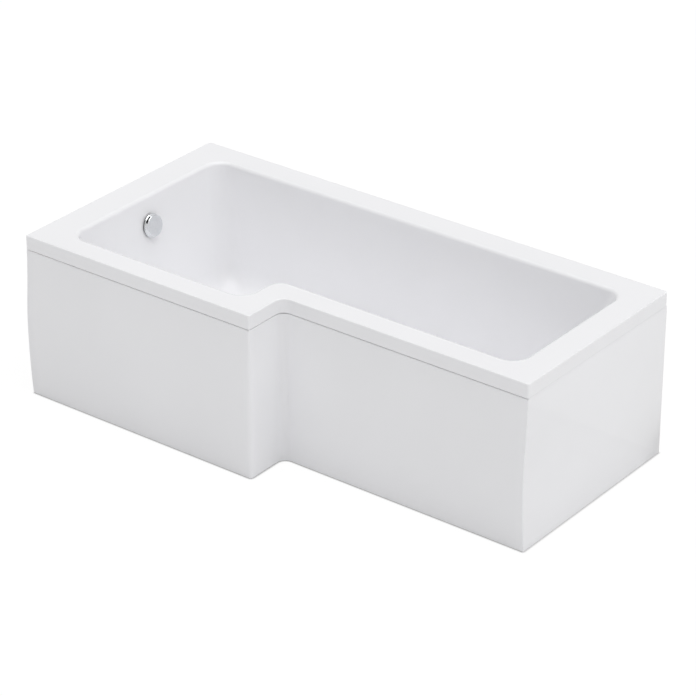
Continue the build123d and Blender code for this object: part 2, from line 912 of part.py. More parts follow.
# Waste: flange in the floor's recess, body and gasket below it
seat_z = floor_top - waste_recess_depth
waste_gasket_top = floor_under - waste_boss_depth
waste_body_top = waste_gasket_top - gasket_thickness
waste_body_low = waste_body_top - waste_body_length
inlet_z = waste_body_top - waste_inlet_below
inlet_x = waste_x - barrel_radius - spigot_reach
upright = Plane(origin=(waste_x, waste_y, 0))
inlet_plane = Plane(origin=(inlet_x, waste_y, inlet_z), x_dir=(0, 1, 0), z_dir=(1, 0, 0))
waste_gasket = ring(upright, waste_body_top, waste_gasket_top, gasket_radius, waste_hole_radius)
export_piece(waste_gasket, "waste_gasket")

with BuildPart() as waste_body:
    with BuildSketch(upright.offset(waste_body_top)):
        Circle(fitting_flange_radius)
    extrude(amount=-fitting_flange_thickness)
    with BuildSketch(upright.offset(waste_body_top)):
        Circle(barrel_radius)
    extrude(amount=-waste_body_length)
    with BuildSketch(upright.offset(waste_body_low)):
        Circle(waste_tail_radius)
    extrude(amount=-waste_tail_length)
    with BuildSketch(inlet_plane):
        Circle(hose_cuff_radius)
    extrude(amount=spigot_reach + barrel_radius - neck_bore_radius)
    with Locations((waste_x, waste_y + cable_offset, inlet_z)):
        Box(gearbox_length, gearbox_width, gearbox_height)
    with BuildSketch(upright.offset(waste_body_top)):
        Circle(neck_radius)
    extrude(amount=-flange_neck_length, mode=Mode.SUBTRACT)
    with BuildSketch(upright.offset(waste_body_top)):
        Circle(neck_bore_radius)
    extrude(amount=-waste_body_length - waste_tail_length, mode=Mode.SUBTRACT)
    with BuildSketch(inlet_plane):
        Circle(hose_bore_radius)
    extrude(amount=spigot_reach + barrel_radius, mode=Mode.SUBTRACT)
export_piece(waste_body, "waste_body")

waste_section = Plane(origin=(waste_x, waste_y, seat_z), x_dir=(1, 0, 0), z_dir=(0, -1, 0))
waste_axis = Axis((waste_x, waste_y, 0), (0, 0, 1))
waste_spider = spider(upright, seat_z - flange_neck_length)
with BuildPart() as waste_flange:
    with BuildSketch(waste_section):
        with BuildLine():
            Polyline(
                (neck_radius, 0),
                (flange_radius, 0),
                (flange_radius, flange_thickness),
                (flange_seat_radius, flange_thickness),
                (neck_bore_radius, flange_thickness - flange_seat_depth),
                (neck_bore_radius, -flange_neck_length),
                (neck_radius, -flange_neck_length),
                close=True,
            )
        make_face()
    revolve(axis=waste_axis)
    add(waste_spider)
export_piece(waste_flange, "waste_flange")

# Plug on its stem, with the seal that lies in the flange's cone
seat_slope = (flange_seat_radius - neck_bore_radius) / flange_seat_depth
plug_low = flange_thickness - plug_seal_gap
seal_low = plug_low - plug_seal_thickness
seal_rise = seal_low + flange_seat_depth - flange_thickness
seal_low_radius = neck_bore_radius + seat_slope * seal_rise - plug_seal_gap
with BuildPart() as waste_plug:
    with BuildSketch(upright.offset(seat_z + plug_low)):
        Circle(plug_radius)
    extrude(amount=plug_thickness)
    fillet(waste_plug.edges().sort_by(Axis.Z)[-1], radius=plug_edge_radius)
export_piece(waste_plug, "waste_plug")

with BuildPart() as plug_seal:
    with BuildSketch(waste_section):
        with BuildLine():
            Polyline(
                (spindle_radius, plug_low),
                (plug_radius - plug_seal_inset, plug_low),
                (seal_low_radius, seal_low),
                (spindle_radius, seal_low),
                close=True,
            )
        make_face()
    revolve(axis=waste_axis)
export_piece(plug_seal, "plug_seal")

with BuildPart() as plug_stem:
    with BuildSketch(upright.offset(seat_z + plug_low)):
        Circle(spindle_radius)
    extrude(amount=-plug_stem_length)
export_piece(plug_stem, "plug_stem")

# Ribbed hose from the overflow down to the waste, and its two nuts
with BuildLine(Plane.XZ.offset(-waste_y)) as hose_path:
    FilletPolyline(
        (spigot_x, hose_top_z), (spigot_x, inlet_z), (inlet_x, inlet_z), radius=[hose_bend_radius]
    )
hose_wire = hose_path.wire()
ribbed_length = hose_wire.length - 2 * hose_cuff_length
rib_count = round(ribbed_length / hose_rib_pitch)
rib_step = ribbed_length / rib_count
rib_shape = [
    (0, hose_root_radius),
    (rib_crest_start, hose_rib_radius),
    (rib_crest_end, hose_rib_radius),
    (rib_foot, hose_root_radius),
]
hose_circles = [(0, hose_cuff_radius), (hose_cuff_length, hose_cuff_radius)]
hose_circles += [
    (hose_cuff_length + (number + share) * rib_step, radius)
    for number in range(rib_count)
    for share, radius in rib_shape
][1:]
hose_circles += [
    (hose_wire.length - hose_cuff_length, hose_cuff_radius),
    (hose_wire.length, hose_cuff_radius),
]
with BuildPart() as overflow_hose:
    for distance, radius in hose_circles:
        share = distance / hose_wire.length
        circle_plane = Plane(origin=hose_wire @ share, x_dir=(0, 1, 0), z_dir=hose_wire % share)
        with BuildSketch(circle_plane):
            Circle(radius)
    loft(ruled=True, clean=False)
    with BuildSketch(Plane(origin=hose_wire @ 0, x_dir=(0, 1, 0), z_dir=hose_wire % 0)):
        Circle(hose_bore_radius)
    sweep(path=hose_wire, mode=Mode.SUBTRACT, clean=False)
export_piece(overflow_hose, "overflow_hose")
print("hose ribs", rib_count, "hose bend radius", hose_bend_radius)

hose_nut_upper = ring(
    Plane(origin=(spigot_x, waste_y, hose_top_z)),
    -hose_nut_length / 2,
    hose_nut_length / 2,
    hose_nut_radius,
    hose_cuff_radius,
)
export_piece(hose_nut_upper, "hose_nut_upper")
hose_nut_lower = ring(
    inlet_plane,
    -hose_nut_length / 2,
    hose_nut_length / 2,
    hose_nut_radius,
    hose_cuff_radius,
)
export_piece(hose_nut_lower, "hose_nut_lower")

# Control cable beside the hose, from gearbox to gearbox, with a ferrule at each end
cable_y = waste_y + cable_offset
cable_top_z = spigot_z - gearbox_height / 2
cable_end_x = waste_x - gearbox_length / 2
cable_bend_radius = cable_end_x - spigot_x - 2 * ferrule_length
cable_plane = Plane(origin=(spigot_x, cable_y, cable_top_z), x_dir=(0, 1, 0), z_dir=(0, 0, -1))
with BuildPart() as control_cable:
    with BuildLine(Plane.XZ.offset(-cable_y)) as cable_path:
        FilletPolyline(
            (spigot_x, cable_top_z),
            (spigot_x, inlet_z),
            (cable_end_x, inlet_z),
            radius=[cable_bend_radius],
        )
    with BuildSketch(cable_plane):
        Circle(cable_radius)
    sweep(path=cable_path.wire())
export_piece(control_cable, "control_cable")
print("cable bend radius", cable_bend_radius)

upper_ferrule = ring(
    Plane(origin=(spigot_x, cable_y, cable_top_z)), -ferrule_length, 0, ferrule_radius, cable_radius
)
export_piece(upper_ferrule, "cable_ferrule_upper")
lower_ferrule = ring(
    Plane(origin=(cable_end_x, cable_y, inlet_z), x_dir=(0, 1, 0), z_dir=(1, 0, 0)),
    -ferrule_length,
    0,
    ferrule_radius,
    cable_radius,
)
export_piece(lower_ferrule, "cable_ferrule_lower")
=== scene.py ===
import json
from math import asin, cos, pi, radians, sin, sqrt, tan, tau

import bmesh
import bpy
from mathutils import Euler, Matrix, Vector

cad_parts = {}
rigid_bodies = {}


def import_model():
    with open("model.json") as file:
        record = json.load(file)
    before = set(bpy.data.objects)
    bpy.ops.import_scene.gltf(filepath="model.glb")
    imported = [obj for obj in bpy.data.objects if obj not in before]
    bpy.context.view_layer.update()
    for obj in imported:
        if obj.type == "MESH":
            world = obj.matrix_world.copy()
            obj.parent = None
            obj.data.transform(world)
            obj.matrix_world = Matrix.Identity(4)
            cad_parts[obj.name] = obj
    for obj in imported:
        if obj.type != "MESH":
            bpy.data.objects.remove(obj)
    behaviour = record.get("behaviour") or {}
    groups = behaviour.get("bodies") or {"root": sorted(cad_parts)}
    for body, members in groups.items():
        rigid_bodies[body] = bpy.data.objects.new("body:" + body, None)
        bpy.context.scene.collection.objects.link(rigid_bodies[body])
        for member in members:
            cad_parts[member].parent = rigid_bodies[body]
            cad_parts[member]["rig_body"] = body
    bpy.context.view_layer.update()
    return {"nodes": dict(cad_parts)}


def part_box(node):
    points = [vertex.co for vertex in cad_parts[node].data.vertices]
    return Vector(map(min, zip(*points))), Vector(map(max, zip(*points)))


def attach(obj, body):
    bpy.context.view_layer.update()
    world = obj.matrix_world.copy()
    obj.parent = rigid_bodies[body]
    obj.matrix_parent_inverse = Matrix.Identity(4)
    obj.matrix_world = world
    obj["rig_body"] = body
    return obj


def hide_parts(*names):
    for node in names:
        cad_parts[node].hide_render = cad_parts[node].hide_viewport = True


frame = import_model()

bl_info = {
    "name": "L-shaped Shower Bath",
    "version": (1, 0, 0),
    "blender": (4, 5, 0),
    "location": "View3D > Sidebar > Shower Bath",
    "description": "Dresses the packed solids of an L-shaped shower bath and sets its stage",
    "category": "Object",
}

SHELL_LOW, SHELL_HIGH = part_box("bath_shell")
PANEL_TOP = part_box("front_panel")[1].z
PLUG_LOW, PLUG_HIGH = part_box("waste_plug")
WASTE_X, WASTE_Y = (PLUG_LOW.x + PLUG_HIGH.x) / 2, (PLUG_LOW.y + PLUG_HIGH.y) / 2
FEET = ("wide_back", "wide_front", "narrow_back", "narrow_front", "middle")
# Points on each straight run and each corner of a ring of the L, clockwise from the back left
RUN_STEPS = (60, 20, 30, 6, 30, 28)
CORNER_STEPS = 16
# Radii of the rim's corners in the same order, and of the corner in the step
RIM_CORNERS = (0.01, 0.01, 0.007, 0.0, 0.006, 0.004)
RIM_STEP = 0.03
LEAST_RADIUS = 0.0005


def linear(code):
    """Linear colour with alpha from an sRGB hex code."""
    parts = [int(code[i : i + 2], 16) / 255 for i in (1, 3, 5)]
    return [c / 12.92 if c <= 0.04045 else ((c + 0.055) / 1.055) ** 2.4 for c in parts] + [1.0]


def length(description, default):
    return bpy.props.FloatProperty(
        description=description, default=default, min=0, unit="LENGTH", precision=4
    )


def angle(description, degrees):
    default = radians(degrees)
    return bpy.props.FloatProperty(description=description, default=default, unit="ROTATION")


def slope(description, default):
    return bpy.props.FloatProperty(description=description, default=default)


def colour(description, code):
    return bpy.props.FloatVectorProperty(
        description=description, default=linear(code), size=4, min=0, max=1, subtype="COLOR"
    )


# Sizes and colours that a user would change


class BathShellSizes(bpy.types.PropertyGroup):
    height: length("Floor to the top of the rim", SHELL_HIGH.z)
    shower_length: length("Length of the wide end", 0.85)
    narrow_width: length("Width of the narrow end", 0.7)
    lip_height: length("Height of the rim's turned-down lip", SHELL_HIGH.z - 0.485)
    skin: length("Thickness of the acrylic with its backing", 0.005)
    rim_edge: length("Rounding of the rim's outer edge", 0.003)
    lip_edge: length("Rounding of the lip's lower edge", 0.001)
    rim_left: length("Width of the rim over the waste", 0.105)
    rim_right: length("Width of the rim at the backrest", 0.09)
    rim_back: length("Width of the rim along the wall", 0.089)
    rim_front: length("Width of the rim along the front", 0.082)
    depth: length("Rim to floor inside", 0.4)
    wall_draft: angle("Lean of the long walls", 5.5)
    shower_draft: angle("Lean of the wall over the waste", 10)
    backrest_draft: angle("Lean of the backrest", 27)
    mouth_corner: length("Corner radius at the rim", 0.055)
    low_corner: length("Corner radius where the bend starts", 0.066)
    floor_corner: length("Corner radius of the flat floor", 0.056)
    mouth_step: length("Radius of the step's corner at the rim", 0.05)
    low_step: length("Radius of the step's corner lower down", 0.08)
    floor_bend: length("Radius between the walls and the floor", 0.085)
    mouth_edge: length("Radius between the rim and the walls", 0.012)
    floor_fall: slope("Fall of the floor to the waste", 0.006)


class BathPanelSizes(bpy.types.PropertyGroup):
    skin: length("Thickness of a panel", 0.004)
    top_setback: length("How far the top stands back from the rim", 0.0015)
    belly: length("How far the panel bows out", 0.0107)
    belly_height: length("Height of the widest place", 0.237)
    flush_drop: length("Top to where the bow passes the rim's outline", 0.056)
    flush_lean: slope("Lean of the face at the flush drop", 0.045)
    foot_lean: slope("Lean of the face at the floor", 0.1)
    outer_corner: length("Radius at the shower end's corner", 0.008)
    inner_corner: length("Radius in the step's corner", 0.03)
    edge: length("Rounding of the cut edges", 0.0006)
    top_edge: length("Rounding of the face into the top", 0.0025)
    bottom_edge: length("Rounding of the face into the foot", 0.002)
    front_gap: length("Gap between the front panel and the rim's lip", 0.0027)
    end_gap: length("Gap between the end panel and the rim's lip", 0.0006)


class BathFittingSizes(bpy.types.PropertyGroup):
    overflow_drop: length("Rim to the centre of the overflow", 0.092)
    knob_radius: length("Radius of the knob at its skirt", 0.0376)
    knob_face: length("Radius of the knob at its face", 0.0335)
    knob_gap: length("Water gap behind the knob", 0.0058)
    knob_height: length("Skirt to the face of the knob", 0.0117)
    knob_wall: length("Thickness of the knob's cap", 0.0025)
    knob_edge: length("Rounding of the knob's face", 0.0015)
    grip_width: length("Length of the grip slot", 0.025)
    grip_height: length("Width of the grip slot", 0.0052)
    grip_bite: length("Depth of the slot into the face's underside", 0.0003)
    grip_angle: angle("Place of the grip slot round the knob", 128)
    hole: length("Radius of the waste and overflow holes", 0.026)
    recess: length("Radius of the waste's recess", 0.037)
    recess_depth: length("Depth of the waste's recess", 0.003)
    boss: length("Radius of the pad under the waste", 0.048)
    boss_depth: length("Drop of the pad under the waste", 0.004)
    thread_pitch: length("Pitch of the M12 foot thread", 0.00175)
    nut_flats: length("Width across the foot nut's flats", 0.019)
    nut_height: length("Height of the foot nut", 0.01)
    rail_sheet: length("Thickness of the cross rails", 0.002)
    hose_rib: length("Radius over the ribs", 0.017)
    hose_cuff: length("Length of the plain ends", 0.029)
    hose_cuff_radius: length("Radius of the plain ends", 0.0145)
    hose_bend: length("Radius of the hose's bend", 0.12)
    hose_ribs: bpy.props.IntProperty(description="Number of ribs on the hose", default=41)


class BathColours(bpy.types.PropertyGroup):
    acrylic: colour("White sanitary acrylic", "#FBFBFD")
    laminate: colour("Resin and glass backing", "#D9D5C3")
    floor: colour("Floor of the stage", "#F0F0F0")


# Materials


def add_node(tree, kind, values=None, links=None, stops=None, **settings):
    """Adds a node, sets its attributes, values and colour stops, and links its inputs."""
    node = tree.nodes.new(kind)
    for name, value in settings.items():
        setattr(node, name, value)
    for socket, value in (values or {}).items():
        node.inputs[socket].default_value = value
    for socket, source in (links or {}).items():
        tree.links.new(source, node.inputs[socket])
    if stops:
        ramp = node.color_ramp
        while len(ramp.elements) < len(stops):
            ramp.elements.new(1)
        for element, (position, shade) in zip(ramp.elements, stops):
            element.position = position
            element.color = linear(shade) if isinstance(shade, str) else shade
    return node


def empty_tree(owner):
    """The node tree of a material or world, with nothing in it."""
    owner.use_nodes = True
    owner.node_tree.nodes.clear()
    return owner.node_tree


def noise(tree, place, scale, detail):
    values = {"Scale": scale, "Detail": detail}
    return add_node(tree, "ShaderNodeTexNoise", values, {"Vector": place}).outputs["Fac"]


def drawn_out(tree, place, scale, turn=(0, 0, 0)):
    """Coordinates turned and drawn out, for strands and fibres."""
    values = {"Rotation": turn, "Scale": scale}
    return add_node(tree, "ShaderNodeMapping", values, {"Vector": place}).outputs["Vector"]


def tint(tree, shader, factor, *stops):
    """Base colour by colour stops."""
    ramp = add_node(tree, "ShaderNodeValToRGB", links={"Fac": factor}, stops=stops)
    tree.links.new(ramp.outputs["Color"], shader.inputs["Base Color"])


def gloss(tree, shader, factor, smoothest, dullest):
    """Roughness between two limits."""
    limits = {"To Min": smoothest, "To Max": dullest}
    spread = add_node(tree, "ShaderNodeMapRange", limits, {"Value": factor})
    tree.links.new(spread.outputs["Result"], shader.inputs["Roughness"])


def relief(tree, shader, height, strength, depth):
    """Fine relief of a depth in metres."""
    values = {"Strength": strength, "Distance": depth}
    bump = add_node(tree, "ShaderNodeBump", values, {"Height": height})
    tree.links.new(bump.outputs["Normal"], shader.inputs["Normal"])


def darker(base, share):
    return [part * share for part in base[:3]] + [1.0]


def cast_acrylic(tree, shader, place):
    """White PMMA sheet, vacuum-formed: even colour, high gloss, faint long waves."""
    base = bpy.context.scene.bath_colours.acrylic
    tint(tree, shader, noise(tree, place, 4.0, 2.0), (0.3, darker(base, 0.985)), (0.7, base))
    # Wiping haze, drawn in patches of about 40 mm
    gloss(tree, shader, noise(tree, place, 25.0, 4.0), 0.14, 0.22)
    relief(tree, shader, noise(tree, place, 9.0, 1.0), 0.15, 0.0004)


def glass_laminate(tree, shader, place):
    """Sprayed polyester resin over chopped glass strand: cream, rough, with strands showing."""
    base = bpy.context.scene.bath_colours.laminate
    mat = None
    # Strands are 1 mm wide and 30 mm long, and lie in three directions
    for turn in (0.3, 1.35, 2.5):
        lie = drawn_out(tree, place, (900.0, 60.0, 900.0), (turn, turn * 0.7, turn))
        strand = noise(tree, lie, 1.0, 1.0)
        if mat:
            pair = {0: mat, 1: strand}
            strand = add_node(tree, "ShaderNodeMath", links=pair, operation="MAXIMUM").outputs[0]
        mat = strand
    tint(tree, shader, mat, (0.45, darker(base, 0.8)), (0.75, base))
    relief(tree, shader, mat, 0.6, 0.0006)


def planed_softwood(tree, shader, place, rings, fibres):
    """Planed pine: yearly rings 3 mm apart run along the strip, with paler wood between."""
    ring = add_node(
        tree,
        "ShaderNodeTexWave",
        {"Scale": 8.0, "Distortion": 3.0, "Detail": 2.0, "Detail Scale": 0.35},
        {"Vector": drawn_out(tree, place, rings)},
        bands_direction="DIAGONAL",
    )
    browns = ((0.0, "#E3C99C"), (0.7, "#D7B581"), (1.0, "#B98B55"))
    tint(tree, shader, ring.outputs["Fac"], *browns)
    relief(tree, shader, noise(tree, drawn_out(tree, place, fibres), 1.0, 2.0), 0.4, 0.0003)


def pressed_chipboard(tree, shader, place):
    """Raw chipboard: pressed chips 2 to 5 mm across in several browns, slightly open."""
    chips = add_node(tree, "ShaderNodeTexVoronoi", {"Scale": 260.0}, {"Vector": place})
    browns = ((0.0, "#9A7850"), (0.35, "#BE9C6C"), (0.7, "#CFB083"), (1.0, "#E0C79E"))
    tint(tree, shader, chips.outputs["Color"], *browns)
    relief(tree, shader, chips.outputs["Distance"], 0.5, 0.0004)


def galvanised_steel(tree, shader, place):
    """Hot-dip zinc on pressed sheet: grey, with crystals about 6 mm across."""
    spangle = add_node(tree, "ShaderNodeTexVoronoi", {"Scale": 160.0}, {"Vector": place})
    tint(tree, shader, spangle.outputs["Color"], (0.0, "#AEB3B6"), (1.0, "#CBCFD1"))
    gloss(tree, shader, spangle.outputs["Color"], 0.28, 0.46)


def plain_metal(tree, shader, place, scale, detail, dark, light, limits=None):
    """Metal of two near shades in streaks, which can also dull it."""
    streak = noise(tree, place, scale, detail)
    tint(tree, shader, streak, (0.3, dark), (0.7, light))
    if limits:
        gloss(tree, shader, streak, *limits)


def moulded_plastic(tree, shader, place, dark, light, grain):
    """Injection-moulded plastic with the fine spark texture of its mould."""
    spark = noise(tree, place, 1200.0, 2.0)
    tint(tree, shader, spark, (0.3, dark), (0.7, light))
    relief(tree, shader, spark, 0.5, grain)


def plastic(dark, light, roughness, grain):
    return moulded_plastic, {"Roughness": roughness, "IOR": 1.5}, dark, light, grain


METAL = {"Metallic": 1.0}
WOOD = {"Roughness": 0.62, "IOR": 1.5}
# Each material's maker, its shader's values and the maker's own figures
MAKERS = {
    "cast_acrylic": (cast_acrylic, {"IOR": 1.49}),
    "glass_laminate": (glass_laminate, {"Roughness": 0.48, "IOR": 1.55}),
    # The grain runs along the bath, or across it in the strips of its ends
    "planed_softwood_along": (planed_softwood, WOOD, (0.8, 20, 20), (30, 1500, 1500)),
    "planed_softwood_across": (planed_softwood, WOOD, (20, 0.8, 20), (1500, 30, 1500)),
    "pressed_chipboard": (pressed_chipboard, {"Roughness": 0.8, "IOR": 1.5}),
    "galvanised_steel": (galvanised_steel, METAL),
    # Bright zinc plate on turned steel: cool grey, half bright, faintly streaked
    "zinc_plate": (plain_metal, METAL, 300, 3, "#B9BEC4", "#D2D6DA", (0.22, 0.36)),
    # Chrome plate on brass: neutral, mirror bright, with fine wiping marks
    "polished_chrome": (plain_metal, METAL, 180, 5, "#E6E8EA", "#EDEFF0", (0.04, 0.09)),
    # Turned brass: warm yellow with tool marks half a millimetre apart
    "turned_brass": (plain_metal, {**METAL, "Roughness": 0.26}, 2000, 1, "#B8934E", "#D2B068"),
    # Glass-filled nylon of the foot pads: off-white, waxy
    "moulded_nylon": plastic("#D8D8D4", "#E2E2DF", 0.5, 0.00005),
    # Black polypropylene of the waste's bodies and nuts
    "black_polypropylene": plastic("#17181A", "#212224", 0.42, 0.00006),
    # Grey polypropylene of the blown hose
    "grey_polypropylene": plastic("#8B8E91", "#96999C", 0.38, 0.00004),
    # Moulded rubber of the seals: near black, dull, bloomed
    "black_rubber": plastic("#131313", "#1E1E1E", 0.75, 0.0001),
}


def finish(name):
    """The material of that name, made on its first use in Object coordinates."""
    if name not in bpy.data.materials:
        maker, values, *figures = MAKERS[name]
        tree = empty_tree(bpy.data.materials.new(name))
        shader = add_node(tree, "ShaderNodeBsdfPrincipled", values)
        add_node(tree, "ShaderNodeOutputMaterial", links={"Surface": shader.outputs["BSDF"]})
        place = add_node(tree, "ShaderNodeTexCoord").outputs["Object"]
        maker(tree, shader, place, *figures)
    return bpy.data.materials[name]


# Meshes


def add_object(name, data):
    thing = bpy.data.objects.new(name, data)
    bpy.context.scene.collection.objects.link(thing)
    return thing


def new_piece(name, vertices, faces, materials=()):
    mesh = bpy.data.meshes.new(name)
    mesh.from_pydata(vertices, [], faces)
    for material in materials:
        mesh.materials.append(material)
    return add_object(name, mesh)


def smooth(piece, degrees):
    """Smooth shading, with edges sharper than the angle kept sharp."""
    piece.data.polygons.foreach_set("use_smooth", [True] * len(piece.data.polygons))
    piece.data.set_sharp_from_angle(angle=radians(degrees))
    return piece


def settle(piece):
    """Turns a piece with its modifiers into a plain mesh."""
    graph = bpy.context.evaluated_depsgraph_get()
    made = bpy.data.meshes.new_from_object(piece.evaluated_get(graph), depsgraph=graph)
    old = piece.data
    piece.modifiers.clear()
    if piece.type == "MESH":
        piece.data = made
        bpy.data.meshes.remove(old)
        return piece
    name = piece.name
    bpy.data.objects.remove(piece)
    return add_object(name, made)


def solid_from_rings(name, rings, materials, slot_of=None, closed=False):
    """Closed solid through rings of equal count, capped at both ends or joined round."""
    count = len(rings[0])
    vertices = [point for ring in rings for point in ring]
    faces, slots = [], []
    last = len(rings) if closed else len(rings) - 1
    for strip in range(last):
        low = strip * count
        high = (strip + 1) % len(rings) * count
        for side in range(count):
            after = (side + 1) % count
            faces.append((low + side, low + after, high + after, high + side))
            slots.append(slot_of(strip, side) if slot_of else 0)
    if not closed:
        faces += [tuple(range(count)), tuple(range(len(vertices) - count, len(vertices)))]
        slots += [slots[0], slots[-1]]
    piece = new_piece(name, vertices, faces, materials)
    piece.data.polygons.foreach_set("material_index", slots)
    shape = bmesh.new()
    shape.from_mesh(piece.data)
    bmesh.ops.recalc_face_normals(shape, faces=shape.faces)
    shape.to_mesh(piece.data)
    shape.free()
    return piece


def turned_rings(profile, origin, axis=(0, 0, 1), steps=64):
    """Rings of a turned shape: a profile of radii and heights, round an axis."""
    up = Vector(axis).normalized()
    side = up.orthogonal().normalized()
    front = up.cross(side)
    turns = [step / steps * tau for step in range(steps)]
    return [
        [Vector(origin) + up * h + (side * cos(t) + front * sin(t)) * r for t in turns]
        for r, h in profile
    ]


def cut(piece, tool, operation="DIFFERENCE"):
    """Cuts a tool out of a piece, or joins it to the piece, and removes the tool."""
    modifier = piece.modifiers.new("cut", "BOOLEAN")
    modifier.operation = operation
    modifier.solver = "EXACT"
    modifier.object = tool
    settle(piece)
    bpy.data.objects.remove(tool)
    return piece


def stands_for(piece, node, degrees=32):
    """Smooths a piece that rides with the CAD node's body, and hides the node."""
    smooth(piece, degrees)
    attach(piece, frame["nodes"][node]["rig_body"])
    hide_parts(node)
    return piece


def round_edges(piece, width, degrees):
    """Rounds the edges that are sharper than the angle."""
    bevel = piece.modifiers.new("edge", "BEVEL")
    bevel.width = width
    bevel.segments = 2
    bevel.angle_limit = radians(degrees)
    settle(piece)


def dressed_copy(node, material, edge=0.0):
    """A joined-up, smooth-shaded copy of a CAD node, with its edges rounded a little."""
    shape = bmesh.new()
    shape.from_mesh(frame["nodes"][node].data)
    bmesh.ops.remove_doubles(shape, verts=shape.verts, dist=1e-6)
    bmesh.ops.dissolve_limit(shape, angle_limit=radians(0.3), verts=shape.verts, edges=shape.edges)
    shape.verts.index_update()
    vertices = [vertex.co.copy() for vertex in shape.verts]
    faces = [[vertex.index for vertex in face.verts] for face in shape.faces]
    shape.free()
    piece = new_piece(node + "_dressed", vertices, faces, [finish(material)])
    if edge:
        round_edges(piece, edge, 50)
    return stands_for(piece, node)


def start_tree(piece, name, given):
    """Adds a Geometry Nodes tree to a piece, and sets its named inputs."""
    tree = bpy.data.node_groups.new(name, "GeometryNodeTree")
    new_socket = tree.interface.new_socket
    new_socket("Geometry", in_out="INPUT", socket_type="NodeSocketGeometry")
    kinds = {int: "NodeSocketInt", float: "NodeSocketFloat"}
    sockets = {}
    for label, value in given.items():
        kind = kinds.get(type(value), "NodeSocketObject")
        sockets[label] = new_socket(label, in_out="INPUT", socket_type=kind)
    new_socket("Geometry", in_out="OUTPUT", socket_type="NodeSocketGeometry")
    modifier = piece.modifiers.new(name, "NODES")
    modifier.node_group = tree
    for label, value in given.items():
        modifier[sockets[label].identifier] = value
    return tree, add_node(tree, "NodeGroupInput").outputs


def end_tree(piece, tree, geometry, material):
    """Ends a piece's tree in real geometry of one material, and makes it a plain mesh."""
    real = add_node(tree, "GeometryNodeRealizeInstances", links={"Geometry": geometry})
    coated = add_node(
        tree,
        "GeometryNodeSetMaterial",
        {"Material": finish(material)},
        {"Geometry": real.outputs["Geometry"]},
    )
    add_node(tree, "NodeGroupOutput", links={"Geometry": coated.outputs["Geometry"]})
    return settle(piece)


def copies_at(name, source, places, material):
    """Copies of a small mesh at a list of points, made into one plain mesh."""
    piece = new_piece(name, places, [])
    tree, given = start_tree(piece, name, {"Shape": source, "Size": 1.0})
    looked_up = add_node(tree, "GeometryNodeObjectInfo", links={"Object": given["Shape"]})
    placed = add_node(
        tree,
        "GeometryNodeInstanceOnPoints",
        links={
            "Points": given["Geometry"],
            "Instance": looked_up.outputs["Geometry"],
            "Scale": given["Size"],
        },
    )
    end_tree(piece, tree, placed.outputs["Instances"], material)
    bpy.data.objects.remove(source)
    return piece


# Shape of the shell and its panels


def side_inset(sizes, rim, draft, z, offset):
    """Inset of one basin wall at z, with its roll to the rim and its bend to the floor."""
    bend = sizes.floor_bend + offset
    rise = z - (sizes.height - sizes.depth - offset)
    if rise < bend * (1 - sin(draft)):
        half_turn = (pi / 2 - draft) / 2
        centre = rim + tan(draft) * sizes.depth + sizes.floor_bend * tan(half_turn)
        return centre - sqrt(max(bend**2 - (bend - rise) ** 2, 0))
    roll = sizes.mouth_edge
    climb = z - (sizes.height - roll)
    if not offset and climb > roll * sin(draft):
        centre = rim + tan(draft) * roll - roll / cos(draft)
        return centre + sqrt(max(roll**2 - climb**2, 0))
    return rim + tan(draft) * (sizes.height - z) - offset / cos(draft)


def plan_ring(sizes, insets, radii, z, tilt=0.0):
    """Ring of the L: six rounded corners, clockwise from the back left, always as many points."""
    left, right, back, wide, narrow, step = insets
    x_left, x_right = SHELL_LOW.x + left, SHELL_HIGH.x - right
    x_step = SHELL_LOW.x + sizes.shower_length - step
    y_back, y_wide = SHELL_HIGH.y - back, SHELL_LOW.y + wide
    y_narrow = SHELL_HIGH.y - sizes.narrow_width + narrow
    corners = [
        Vector((x_left, y_back)),
        Vector((x_right, y_back)),
        Vector((x_right, y_narrow)),
        Vector((x_step, y_narrow)),
        Vector((x_step, y_wide)),
        Vector((x_left, y_wide)),
    ]
    ring = []
    for number, corner in enumerate(corners):
        after = corners[(number + 1) % 6]
        to_last = (corners[number - 1] - corner).normalized()
        to_next = (after - corner).normalized()
        radius = radii[number]
        centre = corner + (to_last + to_next) * radius
        for turn in range(CORNER_STEPS + 1):
            bend = turn / CORNER_STEPS * pi / 2
            ring.append(centre - (to_next * cos(bend) + to_last * sin(bend)) * radius)
        start = corner + to_next * radius
        end = after - to_next * radii[(number + 1) % 6]
        for place in range(1, RUN_STEPS[number]):
            ring.append(start.lerp(end, place / RUN_STEPS[number]))
    return [Vector((p.x, p.y, z + tilt * (p.x - WASTE_X))) for p in ring]


def rim_ring(sizes, inset, z):
    """Ring round the rim or its lip, at an inset from the outline."""
    radii = [max(radius - inset, LEAST_RADIUS) for radius in RIM_CORNERS]
    radii[3] = RIM_STEP + inset
    return plan_ring(sizes, [inset] * 6, radii, z)


